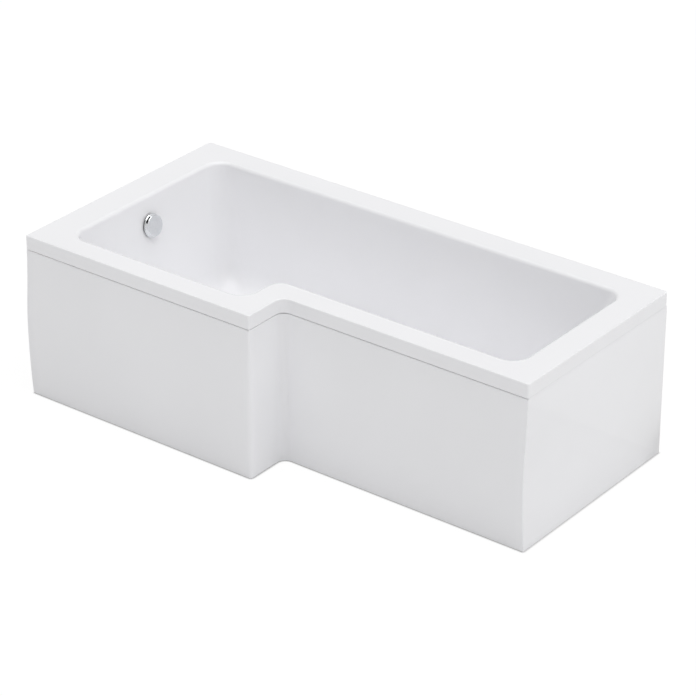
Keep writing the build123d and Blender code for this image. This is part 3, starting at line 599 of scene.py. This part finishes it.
def basin_ring(sizes, z, offset, top, grow=0.0):
    """Ring round the basin at z, on its face or offset behind it, with the floor's fall."""
    floor_z = sizes.height - sizes.depth
    bend_z = floor_z + sizes.floor_bend * (1 - sin(sizes.wall_draft))
    drop = min(max((bend_z - z) / (bend_z - floor_z + offset), 0), 1)
    down = min(max((top - z) / (top - bend_z), 0), 1)
    turn = asin(drop) / (pi / 2)
    corner = sizes.mouth_corner + (sizes.low_corner - sizes.mouth_corner) * down
    corner += (sizes.floor_corner - sizes.low_corner) * turn
    step = sizes.mouth_step + (sizes.low_step - sizes.mouth_step) * down
    side = side_inset(sizes, sizes.rim_front, sizes.wall_draft, z, offset)
    rolled = grow
    if not offset and z > sizes.height - sizes.mouth_edge:
        rolled += sizes.rim_front + tan(sizes.wall_draft) * (sizes.height - z) - side
    walls = (
        (sizes.rim_left, sizes.shower_draft),
        (sizes.rim_right, sizes.backrest_draft),
        (sizes.rim_back, sizes.wall_draft),
    )
    insets = [side_inset(sizes, rim, draft, z, offset) - grow for rim, draft in walls]
    insets += [side - grow] * 3
    outer = corner + offset + rolled
    inner = step - offset - rolled
    radii = [outer, outer, outer, inner, outer, outer]
    return plan_ring(sizes, insets, radii, z, sizes.floor_fall * drop)


def shell_rings(sizes):
    """Rings of the whole shell from the middle of the floor, over the rim, to the underside."""
    floor_z = sizes.height - sizes.depth
    bend_z = floor_z + sizes.floor_bend * (1 - sin(sizes.wall_draft))
    top, roll, hold, skin = sizes.height, sizes.mouth_edge, 0.002, sizes.skin
    lip_z = top - sizes.lip_height
    edge, lip = sizes.rim_edge, sizes.lip_edge
    bend_steps, wall_steps, roll_steps, edge_steps, lip_steps = 18, 8, 8, 5, 3
    rings = [basin_ring(sizes, floor_z, 0, top, -hold)]
    for level in range(bend_steps, -1, -1):
        z = bend_z - (bend_z - floor_z) * sin(level / bend_steps * pi / 2)
        rings.append(basin_ring(sizes, z, 0, top))
    for level in range(1, wall_steps + 1):
        z = bend_z + (top - roll - bend_z) * level / wall_steps
        rings.append(basin_ring(sizes, z, 0, top))
    for level in range(1, roll_steps + 1):
        z = top - roll + roll * sin(level / (2 * roll_steps) * pi)
        rings.append(basin_ring(sizes, z, 0, top))
    rings.append(basin_ring(sizes, top, 0, top, hold))
    rings.append(rim_ring(sizes, edge + hold, top))
    for level in range(edge_steps + 1):
        bend = level / (2 * edge_steps) * pi
        z = top - edge + edge * cos(bend)
        rings.append(rim_ring(sizes, edge * (1 - sin(bend)), z))
    rings.append(rim_ring(sizes, 0, top - edge - hold))
    rings.append(rim_ring(sizes, 0, lip_z + lip + hold))
    for level in range(lip_steps + 1):
        bend = level / (2 * lip_steps) * pi
        z = lip_z + lip * (1 - sin(bend))
        rings.append(rim_ring(sizes, lip * (1 - cos(bend)), z))
    shown = len(rings)
    under, outside_top = top - skin, top - skin / 2
    rings += [rim_ring(sizes, skin, lip_z), rim_ring(sizes, skin, under)]
    for level in range(wall_steps + 1):
        z = under + (bend_z - under) * level / wall_steps
        rings.append(basin_ring(sizes, z, skin, outside_top))
    for level in range(1, bend_steps + 1):
        z = bend_z - (bend_z - floor_z + skin) * sin(level / bend_steps * pi / 2)
        rings.append(basin_ring(sizes, z, skin, outside_top))
    rings.append(basin_ring(sizes, floor_z - skin, skin, outside_top, -hold))
    return rings, shown


def panel_bow(sizes, z):
    """How far the front panel's face stands out from the rim's outline at z."""
    knots = [
        (0.0, 0.0, sizes.foot_lean),
        (sizes.belly_height, sizes.belly, 0.0),
        (PANEL_TOP - sizes.flush_drop, 0.0, -sizes.flush_lean),
        (PANEL_TOP, -sizes.top_setback, 0.0),
    ]
    for (z0, out0, lean0), (z1, out1, lean1) in zip(knots, knots[1:]):
        if z <= z1 or z1 == PANEL_TOP:
            run = z1 - z0
            t = (z - z0) / run
            return (
                out0 * (1 + 2 * t) * (1 - t) ** 2
                + lean0 * run * t * (1 - t) ** 2
                + out1 * t**2 * (3 - 2 * t)
                + lean1 * run * t**2 * (t - 1)
            )


def panel_stations(sizes, shell):
    """Places along the front panel's path: a point, and the way outward."""
    start_x, step_x = SHELL_LOW.x, SHELL_LOW.x + shell.shower_length
    end_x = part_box("end_panel")[1].x
    wide_y, narrow_y = SHELL_LOW.y, SHELL_HIGH.y - shell.narrow_width
    outer, inner = sizes.outer_corner, sizes.inner_corner
    front, right = Vector((0, -1, 0)), Vector((1, 0, 0))
    long_steps, outer_steps, short_steps, inner_steps = 30, 12, 6, 16
    stations = []
    for number in range(long_steps + 1):
        x = start_x + (step_x - outer - start_x) * number / long_steps
        stations.append((Vector((x, wide_y, 0)), front))
    middle = Vector((step_x - outer, wide_y + outer, 0))
    for number in range(1, outer_steps + 1):
        turn = number / (2 * outer_steps) * pi
        way = front * cos(turn) + right * sin(turn)
        stations.append((middle + way * outer, way))
    for number in range(1, short_steps):
        y = wide_y + outer + (narrow_y - inner - wide_y - outer) * number / short_steps
        stations.append((Vector((step_x, y, 0)), right))
    middle = Vector((step_x + inner, narrow_y - inner, 0))
    for number in range(inner_steps + 1):
        turn = number / (2 * inner_steps) * pi
        way = right * cos(turn) + front * sin(turn)
        stations.append((middle - way * inner, way))
    for number in range(1, long_steps + 1):
        x = step_x + inner + (end_x - step_x - inner) * number / long_steps
        stations.append((Vector((x, narrow_y, 0)), front))
    return stations


def drill(shell, place, axis, radius, low, high):
    """Cuts a round hole from low to high along an axis."""
    rings = turned_rings([(radius, low), (radius, high)], place, axis)
    cut(shell, solid_from_rings("drill", rings, []))


class BATH_OT_shell(bpy.types.Operator):
    """Makes the acrylic shell: rim, lip, L-shaped basin, laminated underside"""

    bl_idname = "bath.shell"
    bl_label = "Bath Shell"

    def execute(self, context):
        sizes, fittings = context.scene.bath_shell, context.scene.bath_fittings
        materials = [finish("cast_acrylic"), finish("glass_laminate")]
        rings, shown = shell_rings(sizes)
        shell = solid_from_rings(
            "shell_sheet", rings, materials, lambda strip, side: int(strip >= shown)
        )
        waste = Vector((WASTE_X, WASTE_Y, sizes.height - sizes.depth))
        low = -sizes.skin - fittings.boss_depth
        rings = turned_rings([(fittings.boss, low), (fittings.boss, -sizes.skin / 2)], waste)
        cut(shell, solid_from_rings("boss", rings, materials, lambda strip, side: 1), "UNION")
        up, above, below, through = (0, 0, 1), 0.02, 0.03, 0.05
        drill(shell, waste, up, fittings.recess, -fittings.recess_depth, above)
        drill(shell, waste, up, fittings.hole, -below, above)
        origin, normal = overflow_place(context)
        drill(shell, origin, normal, fittings.hole, -through, through)
        stands_for(shell, "bath_shell", 30)
        return {"FINISHED"}


def overflow_place(context):
    """Centre of the overflow on the basin's wall, and the way out of the wall."""
    sizes, drop = context.scene.bath_shell, context.scene.bath_fittings.overflow_drop
    x = SHELL_LOW.x + sizes.rim_left + tan(sizes.shower_draft) * drop
    normal = Vector((cos(sizes.shower_draft), 0, sin(sizes.shower_draft)))
    return Vector((x, WASTE_Y, sizes.height - drop)), normal


class BATH_OT_panels(bpy.types.Operator):
    """Makes the bowed front panel that follows the L, and the flat end panel"""

    bl_idname = "bath.panels"
    bl_label = "Panels"

    def execute(self, context):
        sizes, shell = context.scene.bath_panels, context.scene.bath_shell
        lip_z = shell.height - shell.lip_height
        outer = self.face_outline(sizes, lip_z - sizes.front_gap)
        bow = [panel_bow(sizes, min(z, PANEL_TOP)) for _, z in outer]
        inner = [(out - sizes.skin, z) for out, (_, z) in reversed(list(zip(bow, outer)))]
        rings = [
            [place + way * out + Vector((0, 0, z)) for out, z in outer + inner]
            for place, way in panel_stations(sizes, shell)
        ]
        materials = [finish("cast_acrylic"), finish("glass_laminate")]
        # The back of the sheet is laminate, and its cut edges show the acrylic
        front = solid_from_rings(
            "front_panel_sheet",
            rings,
            materials,
            lambda strip, side: int(len(outer) <= side < 2 * len(outer) - 1),
        )
        self.settle_sheet(front, sizes.edge, "front_panel")
        end_low, end_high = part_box("end_panel")
        narrow_y = SHELL_HIGH.y - shell.narrow_width
        end_top = lip_z - sizes.end_gap
        steps = 24
        heights = [PANEL_TOP * number / steps for number in range(steps)]
        outline = [(narrow_y - panel_bow(sizes, z) + sizes.skin, z) for z in heights]
        outline += [(outline[-1][0], end_top), (end_high.y, end_top), (end_high.y, 0.0)]
        rings = [[Vector((x, y, z)) for y, z in outline] for x in (end_high.x, end_low.x)]
        end = solid_from_rings("end_panel_sheet", rings, materials)
        end.data.polygons[len(end.data.polygons) - 1].material_index = 1
        self.settle_sheet(end, sizes.edge, "end_panel")
        return {"FINISHED"}

    def face_outline(self, sizes, top):
        """Outline of the bowed face from the foot to the top, with both edges rounded."""
        low, high = sizes.bottom_edge, sizes.top_edge
        foot, runs, head = panel_bow(sizes, low) - low, 56, -sizes.top_setback - high
        turns = [number / 10 * pi for number in range(6)]
        outline = [(foot + low * sin(t), low - low * cos(t)) for t in turns]
        for number in range(1, runs):
            z = low + (top - high - low) * number / runs
            outline.append((panel_bow(sizes, min(z, PANEL_TOP)), z))
        outline += [(head + high * cos(t), top - high + high * sin(t)) for t in turns]
        return outline

    def settle_sheet(self, piece, width, node):
        round_edges(piece, width, 60)
        stands_for(piece, node, 35)


class BATH_OT_timber(bpy.types.Operator):
    """Dresses the strips under the rim, the rails behind the panels and the base board"""

    bl_idname = "bath.timber"
    bl_label = "Timber and Board"

    def execute(self, context):
        for node in frame["nodes"]:
            if node.startswith(("rim_batten_", "panel_rail_")):
                low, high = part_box(node)
                grain = "along" if high.x - low.x > high.y - low.y else "across"
                dressed_copy(node, "planed_softwood_" + grain, 0.001)
        dressed_copy("base_board", "pressed_chipboard", 0.0006)
        return {"FINISHED"}


class BATH_OT_leg_set(bpy.types.Operator):
    """Makes the cross rails, threaded feet, nuts and board screws"""

    bl_idname = "bath.leg_set"
    bl_label = "Leg Set"

    def execute(self, context):
        sizes = context.scene.bath_fittings
        for node in ("cross_rail_wide", "cross_rail_narrow", "middle_bracket"):
            dressed_copy(node, "galvanised_steel")
        for foot in FEET:
            self.rod(sizes, foot)
            self.pad(foot)
        self.nuts(sizes)
        self.screws(sizes, context.scene.bath_shell)
        return {"FINISHED"}

    def rod(self, sizes, foot):
        """M12 studding: a helical thread of about 60 degrees, with its tip chamfered."""
        node, steps = "foot_rod_" + foot, 24
        low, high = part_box(node)
        centre = (low + high) / 2
        radius, pitch, tip = (high.x - low.x) / 2, sizes.thread_pitch, 0.001
        rows, deep = round((high.z - low.z) / pitch * 4), 0.6 * pitch
        rings = []
        for row in range(rows + 1):
            z = low.z + (high.z - low.z) * row / rows
            ring = []
            for step in range(steps):
                turn = step / steps * tau
                crest = abs(((z / pitch - step / steps) % 1) * 2 - 1)
                reach = min(radius - deep * (1 - crest), radius - tip + max(high.z - z, 0))
                x, y = centre.x + reach * cos(turn), centre.y + reach * sin(turn)
                ring.append(Vector((x, y, z)))
            rings.append(ring)
        rod = solid_from_rings(node + "_threaded", rings, [finish("zinc_plate")])
        stands_for(rod, node, 60)

    def pad(self, foot):
        """Moulded foot: a flat dish that rises to a neck, with every edge rounded."""
        node = "foot_pad_" + foot
        low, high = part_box(node)
        radius, top = (high.x - low.x) / 2, high.z
        # Radii and heights of the dish, its rounded rim, the slope, the neck and the socket
        profile = [(0.006, 0.0005), (0.012, 0.0)]
        profile += [(radius - 0.001, 0.0), (radius - 0.0003, 0.0003), (radius, 0.001)]
        profile += [(radius, 0.0032), (radius - 0.0004, 0.0038), (radius - 0.0012, 0.0043)]
        profile += [(0.013, 0.0075), (0.0114, 0.0084), (0.011, 0.0095)]
        profile += [(0.011, top - 0.001), (0.0107, top - 0.0003), (0.01, top)]
        profile += [(0.0066, top), (0.0061, top - 0.0005), (0.0061, 0.008), (0.0059, 0.004)]
        centre = Vector(((low.x + high.x) / 2, (low.y + high.y) / 2, low.z))
        rings = turned_rings(profile, centre)
        pad = solid_from_rings(node + "_moulded", rings, [finish("moulded_nylon")], closed=True)
        stands_for(pad, node, 40)

    def nuts(self, sizes):
        """Hexagon nuts with chamfered corners, above and below each cross rail."""
        half, tall, steps = sizes.nut_flats / 2, sizes.nut_height, 48
        rod_low, rod_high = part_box("foot_rod_wide_back")
        clearance, face_chamfer, corner_chamfer = 0.00005, 0.0004, 0.0013
        bore, corner = (rod_high.x - rod_low.x) / 2 + clearance, half * 1.155
        face, flank = half * 0.97, half * 1.02
        profile = [(bore, 0.0), (face, 0.0), (flank, face_chamfer), (corner, corner_chamfer)]
        profile += [(reach, tall - z) for reach, z in reversed(profile)]
        rings = []
        for reach, z in profile:
            ring = []
            for step in range(steps):
                turn = step / steps * tau
                flat = half / cos(turn % (pi / 3) - pi / 6)
                ring.append(Vector((cos(turn), sin(turn), 0)) * min(flat, reach))
                ring[-1].z = z
            rings.append(ring)
        for node, upper in (("upper_nuts", True), ("lower_nuts", False)):
            places = []
            for foot in FEET[:4]:
                low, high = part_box("foot_rod_" + foot)
                rail_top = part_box("cross_rail_" + foot.split("_")[0])[1].z
                z = rail_top if upper else rail_top - sizes.rail_sheet - tall
                places.append(((low.x + high.x) / 2, (low.y + high.y) / 2, z))
            source = solid_from_rings("nut", rings, [finish("zinc_plate")], closed=True)
            smooth(source, 25)
            nuts = copies_at(node + "_hex", source, places, "zinc_plate")
            stands_for(nuts, node, 25)

    def screws(self, sizes, shell):
        """Pan-head wood screws with a cross recess, up into the board."""
        shank, head_radius, head_height, dome = 0.0022, 0.0045, 0.0025, 0.0016
        crown, rounding, thread_end, tip = 0.0020, 0.0025, 0.0145, 0.0164
        slot_half, slot_wide, slot_low, slot_high = 0.0021, 0.0005, -0.001, 0.0014
        profile = [(0.0003, 0.0)]
        for number in range(7):
            turn = number / 12 * pi
            profile.append((crown + rounding * sin(turn), dome - dome * cos(turn)))
        profile += [(head_radius, head_height), (shank, head_height)]
        profile += [(shank, thread_end), (0.0006, tip)]
        head = solid_from_rings("screw", turned_rings(profile, (0, 0, 0), steps=32), [])
        for x, y in ((slot_half, slot_wide), (slot_wide, slot_half)):
            corners = ((x, y), (-x, y), (-x, -y), (x, -y))
            rings = [[Vector((*corner, z)) for corner in corners] for z in (slot_low, slot_high)]
            cut(head, solid_from_rings("recess", rings, []))
        board_low, board_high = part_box("base_board")
        step_depth = SHELL_HIGH.y - SHELL_LOW.y - shell.narrow_width
        from_edge, middle_x, middle_y, middle_sheet = 0.04, 0.036, 0.021, 0.004
        places = []
        for name, front in (("wide", board_low.y), ("narrow", board_low.y + step_depth)):
            low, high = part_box("cross_rail_" + name)
            first, last = front + from_edge, board_high.y - from_edge
            for number in range(4):
                y = first + (last - first) * number / 3
                places.append(((low.x + high.x) / 2, y, high.z - sizes.rail_sheet - head_height))
        low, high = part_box("middle_bracket")
        for sx in (-1, 1):
            for sy in (-1, 1):
                x, y = (low.x + high.x) / 2 + sx * middle_x, (low.y + high.y) / 2 + sy * middle_y
                places.append((x, y, high.z - middle_sheet - head_height))
        screws = copies_at("board_screws_cross", head, places, "zinc_plate")
        stands_for(screws, "board_screws", 35)


class BATH_OT_sheet_steel(bpy.types.Operator):
    """Dresses the wall brackets and the panel clips"""

    bl_idname = "bath.sheet_steel"
    bl_label = "Brackets and Clips"

    def execute(self, context):
        for node in frame["nodes"]:
            if node.startswith(("wall_bracket_", "panel_clip_")):
                dressed_copy(node, "galvanised_steel")
        return {"FINISHED"}


class BATH_OT_overflow(bpy.types.Operator):
    """Makes the turning knob and its faceplate, and dresses the spindle and body"""

    bl_idname = "bath.overflow"
    bl_label = "Overflow"

    def execute(self, context):
        sizes = context.scene.bath_fittings
        origin, normal = overflow_place(context)
        self.knob(sizes, origin, normal)
        self.faceplate(origin, normal)
        dressed_copy("overflow_spindle", "turned_brass")
        dressed_copy("overflow_gasket", "black_rubber")
        dressed_copy("overflow_body", "black_polypropylene")
        return {"FINISHED"}

    def knob(self, sizes, origin, normal):
        """Tapered chrome cap whose inside and skirt edge are black as painted shade, with a rounded
        face and a grip slot in its side.
        """
        low, high = sizes.knob_gap, sizes.knob_gap + sizes.knob_height
        wide, narrow, wall = sizes.knob_radius, sizes.knob_face, sizes.knob_wall
        edge, centre, hub, lip = sizes.knob_edge, 0.002, 0.007, 0.0007
        profile = [(centre, low), (hub, low), (hub, high - wall), (narrow - wall, high - wall)]
        profile += [(wide - wall, low), (wide - lip, low), (wide, low + 0.0005)]
        for number in range(7):
            turn = number / 12 * pi
            reach = narrow - edge * (1 - cos(turn))
            profile.append((reach, high - edge * (1 - sin(turn))))
        # The face is dished by 0.3 mm
        profile += [(narrow * 0.6, high - 0.0002), (centre, high - 0.0003)]
        # The hub, the underside of the face, the inner skirt wall and the skirt's bottom edge take
        # the black slot: painted shade inside the cap
        knob = solid_from_rings(
            "overflow_knob_cap",
            turned_rings(profile, origin, normal, 96),
            [finish("polished_chrome"), finish("black_polypropylene")],
            lambda strip, side: int(strip < 5),
        )
        side = Vector((0, 1, 0))
        front = normal.cross(side)
        out = side * cos(sizes.grip_angle) + front * sin(sizes.grip_angle)
        along = normal.cross(out)
        slot_low = high - wall - sizes.grip_height + sizes.grip_bite
        inside, outside = 0.026, 0.045
        rings = []
        for height in (slot_low, slot_low + sizes.grip_height):
            middle = origin + normal * height
            corners = ((inside, -1), (outside, -1), (outside, 1), (inside, 1))
            rings.append(
                [
                    middle + out * reach + along * way * sizes.grip_width / 2
                    for reach, way in corners
                ]
            )
        # The slot's cut walls take the black slot: painted shade inside the slot
        cut(knob, solid_from_rings("grip", rings, [], lambda strip, side: 1))
        stands_for(knob, "overflow_knob", 35)

    def faceplate(self, origin, normal):
        """Chrome neck through the wall; its faces in front of the wall are black, painted shade for
        the gap behind the knob.
        """
        plate = dressed_copy("overflow_faceplate", "polished_chrome")
        plate.data.materials.append(finish("black_polypropylene"))
        tolerance = 0.0001
        # Faces in front of the wall go black: painted shade in the gap behind the knob
        for face in plate.data.polygons:
            face.material_index = int((face.center - origin).dot(normal) > tolerance)


class BATH_OT_waste(bpy.types.Operator):
    """Dresses the waste's flange, plug, seals and body"""

    bl_idname = "bath.waste"
    bl_label = "Waste"

    def execute(self, context):
        dressed_copy("waste_flange", "polished_chrome")
        dressed_copy("waste_plug", "polished_chrome")
        dressed_copy("plug_seal", "black_rubber")
        dressed_copy("plug_stem", "turned_brass")
        dressed_copy("waste_gasket", "black_rubber")
        dressed_copy("waste_body", "black_polypropylene")
        return {"FINISHED"}


class BATH_OT_hose(bpy.types.Operator):
    """Makes the ribbed overflow hose with its grip nuts, and the control cable"""

    bl_idname = "bath.hose"
    bl_label = "Hose and Cable"

    def execute(self, context):
        sizes = context.scene.bath_fittings
        self.hose(sizes)
        self.nut(sizes, "hose_nut_upper", 2)
        self.nut(sizes, "hose_nut_lower", 0)
        dressed_copy("control_cable", "black_polypropylene")
        dressed_copy("cable_ferrule_upper", "turned_brass")
        dressed_copy("cable_ferrule_lower", "turned_brass")
        return {"FINISHED"}

    def hose(self, sizes):
        """Blown hose: its path is the CAD's two runs and bend, its ribs are rings along it."""
        top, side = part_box("hose_nut_upper"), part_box("hose_nut_lower")
        start, end = (top[0] + top[1]) / 2, (side[0] + side[1]) / 2
        corner = Vector((start.x, start.y, end.z))
        curve = bpy.data.curves.new("hose_path", "CURVE")
        curve.dimensions = "3D"
        line = curve.splines.new("POLY")
        line.points.add(2)
        for point, place in zip(line.points, (start, corner, end)):
            point.co = (*place, 1)
        hose = add_object("overflow_hose_ribbed", curve)
        given = {
            "Bend Radius": sizes.hose_bend,
            "Cuff Length": sizes.hose_cuff,
            "Cuff Radius": sizes.hose_cuff_radius,
            "Rib Radius": sizes.hose_rib,
            "Ribs": sizes.hose_ribs,
        }
        tree, inputs = start_tree(hose, "hose_ribs", given)
        bead_radius, round_steps, bead_steps, bend_steps, bead_stretch = 0.0011, 40, 10, 32, 1.7

        def difference(least, taken):
            inputs = {0: least, 1: taken}
            return add_node(tree, "ShaderNodeMath", links=inputs, operation="SUBTRACT").outputs[0]

        def circle(steps, radius):
            values = {"Resolution": steps}
            links = {"Radius": radius}
            return add_node(tree, "GeometryNodeCurvePrimitiveCircle", values, links).outputs[0]

        def sweep(path, profile, capped):
            values = {"Fill Caps": capped}
            links = {"Curve": path, "Profile Curve": profile}
            return add_node(tree, "GeometryNodeCurveToMesh", values, links).outputs["Mesh"]

        path = add_node(
            tree,
            "GeometryNodeFilletCurve",
            {"Count": bend_steps},
            {"Curve": inputs["Geometry"], "Radius": inputs["Bend Radius"]},
            mode="POLY",
        ).outputs["Curve"]
        whole = add_node(tree, "GeometryNodeCurveLength", links={"Curve": path}).outputs["Length"]
        cuff = inputs["Cuff Length"]
        ribbed = add_node(
            tree,
            "GeometryNodeTrimCurve",
            links={"Curve": path, "Start": cuff, "End": difference(whole, cuff)},
            mode="LENGTH",
        )
        # A rib is a rounded ring, drawn out along the hose
        bead = add_node(tree, "ShaderNodeValue").outputs[0]
        bead.default_value = bead_radius
        loop = circle(round_steps, difference(inputs["Rib Radius"], bead))
        places = add_node(
            tree,
            "GeometryNodeCurveToPoints",
            links={"Curve": ribbed.outputs["Curve"], "Count": inputs["Ribs"]},
            mode="COUNT",
        )
        ribs = add_node(
            tree,
            "GeometryNodeInstanceOnPoints",
            {"Scale": (1.0, 1.0, bead_stretch)},
            {
                "Points": places.outputs["Points"],
                "Instance": sweep(loop, circle(bead_steps, bead), False),
                "Rotation": places.outputs["Rotation"],
            },
        )
        joined = add_node(tree, "GeometryNodeJoinGeometry")
        tube = sweep(path, circle(round_steps, inputs["Cuff Radius"]), True)
        for mesh in (tube, ribs.outputs["Instances"]):
            tree.links.new(mesh, joined.inputs["Geometry"])
        hose = end_tree(hose, tree, joined.outputs["Geometry"], "grey_polypropylene")
        stands_for(hose, "overflow_hose", 50)

    def nut(self, sizes, node, axis):
        """Moulded hand nut with twenty grips round it and a rounded collar at each end."""
        low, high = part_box(node)
        centre = (low + high) / 2
        tall = high[axis] - low[axis]
        radius, bore = (high.y - low.y) / 2, sizes.hose_cuff_radius
        steps, grips, grip_depth = 120, 20, 0.0012
        # Radius, height and share of the grips: lower collar, grips, upper edge
        profile = [(bore, 0.0, 0), (radius - 0.002, 0.0, 0), (radius - 0.0005, 0.0005, 0)]
        profile += [(radius - 0.0002, 0.0015, 0), (radius - 0.0002, 0.004, 0)]
        profile += [(radius, 0.005, 1), (radius, tall - 0.002, 1), (radius - 0.001, tall, 1)]
        profile += [(bore, tall, 0)]
        rings = []
        for reach, height, grip in profile:
            ring = []
            for step in range(steps):
                turn = step / steps * tau
                r = reach - grip_depth * grip * (0.5 - 0.5 * cos(turn * grips))
                across = Vector((r * cos(turn), r * sin(turn), height - tall / 2))
                if axis == 0:
                    across = Vector((across.z, across.y, -across.x))
                ring.append(centre + across)
            rings.append(ring)
        nut = solid_from_rings(node + "_grip", rings, [finish("black_polypropylene")], closed=True)
        stands_for(nut, node, 40)


class BATH_OT_stage(bpy.types.Operator):
    """Sets the pale floor, soft light and the camera"""

    bl_idname = "bath.stage"
    bl_label = "Stage"

    def execute(self, context):
        scene = context.scene
        self.floor(scene)
        self.light(scene)
        camera = bpy.data.cameras.new("camera")
        camera.lens = 158.634
        camera.sensor_width = 36
        camera.clip_end = 100
        holder = add_object("camera", camera)
        holder.location = (4.87284, -6.30868, 4.49280)
        turn = (61.9885, -0.0517, 37.5429)
        holder.rotation_euler = Euler([radians(part) for part in turn])
        scene.camera = holder
        scene.view_settings.view_transform = "Standard"
        return {"FINISHED"}

    def floor(self, scene):
        """Seamless pale floor, nearly white, with a thin shadow where the bath stands on it."""
        reach, z, seen_white, shadow_reach = 30, -0.0003, 0.92, 0.008
        corners = ((-reach, -reach, z), (reach, -reach, z), (reach, reach, z), (-reach, reach, z))
        floor = new_piece("stage_floor", corners, [(0, 1, 2, 3)])
        material = bpy.data.materials.new("painted_floor")
        tree = empty_tree(material)
        shade = {"Color": scene.bath_colours.floor}
        paint = add_node(tree, "ShaderNodeBsdfDiffuse", shade)
        contact = add_node(tree, "ShaderNodeAmbientOcclusion", {"Distance": shadow_reach})
        shadow = {"Color": contact.outputs["Color"]}
        white = add_node(tree, "ShaderNodeEmission", {"Strength": 1.03}, shadow)
        seen = {0: add_node(tree, "ShaderNodeLightPath").outputs["Is Camera Ray"]}
        share = add_node(tree, "ShaderNodeMath", {1: seen_white}, seen, operation="MULTIPLY")
        mix = {"Fac": share.outputs[0], 1: paint.outputs["BSDF"], 2: white.outputs["Emission"]}
        mixed = add_node(tree, "ShaderNodeMixShader", links=mix)
        add_node(tree, "ShaderNodeOutputMaterial", links={"Surface": mixed.outputs["Shader"]})
        floor.data.materials.append(material)

    def light(self, scene):
        """An even pale room, a broad ceiling lamp and a softer one beyond the narrow end."""
        world = bpy.data.worlds.new("room")
        scene.world = world
        tree = empty_tree(world)
        seen = add_node(tree, "ShaderNodeLightPath").outputs
        # The room looks brighter in the glossy faces than it shines
        limits = {"To Min": 0.43, "To Max": 0.6}
        glossy = {"Value": seen["Is Glossy Ray"]}
        level = {"Strength": add_node(tree, "ShaderNodeMapRange", limits, glossy).outputs[0]}
        room = add_node(tree, "ShaderNodeBackground", {"Color": (1, 1, 1, 1)}, level)
        white = add_node(tree, "ShaderNodeBackground", {"Color": (1, 1, 1, 1), "Strength": 1.0})
        # Straight from the camera the room is plain white
        straight = {0: seen["Is Camera Ray"], 1: seen["Is Transmission Ray"]}
        plain = add_node(tree, "ShaderNodeMath", links=straight, operation="MAXIMUM")
        mix = {0: plain.outputs[0], 1: room.outputs[0], 2: white.outputs[0]}
        shown = add_node(tree, "ShaderNodeMixShader", links=mix)
        add_node(tree, "ShaderNodeOutputWorld", links={"Surface": shown.outputs["Shader"]})
        for name, way, energy, spread in (
            ("ceiling_lamp", Vector((0, 0, 1)), 1.28, 60),
            ("side_lamp", Vector((0.77, 0, 0.64)), 0.54, 90),
        ):
            lamp = bpy.data.lights.new(name, "SUN")
            lamp.energy = energy
            lamp.angle = radians(spread)
            holder = add_object(name, lamp)
            holder.rotation_euler = way.to_track_quat("Z", "Y").to_euler()


class BATH_PT_sidebar(bpy.types.Panel):
    """Lists the pieces, sizes and colours of the bath"""

    bl_idname = "BATH_PT_sidebar"
    bl_label = "Shower Bath"
    bl_space_type = "VIEW_3D"
    bl_region_type = "UI"
    bl_category = "Shower Bath"

    def draw(self, context):
        layout = self.layout
        for operator in OPERATORS:
            layout.operator(operator.bl_idname)
        for group in GROUPS:
            for name in GROUPS[group].__annotations__:
                label = name.replace("_", " ").capitalize()
                layout.prop(getattr(context.scene, group), name, text=label)


OPERATORS = (
    BATH_OT_shell,
    BATH_OT_panels,
    BATH_OT_timber,
    BATH_OT_leg_set,
    BATH_OT_sheet_steel,
    BATH_OT_overflow,
    BATH_OT_waste,
    BATH_OT_hose,
    BATH_OT_stage,
)
GROUPS = {
    "bath_shell": BathShellSizes,
    "bath_panels": BathPanelSizes,
    "bath_fittings": BathFittingSizes,
    "bath_colours": BathColours,
}


def register():
    for name, group in GROUPS.items():
        bpy.utils.register_class(group)
        setattr(bpy.types.Scene, name, bpy.props.PointerProperty(type=group))
    for thing in (*OPERATORS, BATH_PT_sidebar):
        bpy.utils.register_class(thing)


def unregister():
    for thing in (BATH_PT_sidebar, *reversed(OPERATORS)):
        bpy.utils.unregister_class(thing)
    for name, group in reversed(GROUPS.items()):
        delattr(bpy.types.Scene, name)
        bpy.utils.unregister_class(group)


def main():
    register()
    for operator in OPERATORS:
        family, name = operator.bl_idname.split(".")
        getattr(getattr(bpy.ops, family), name)()


if __name__ == "__main__":
    main()
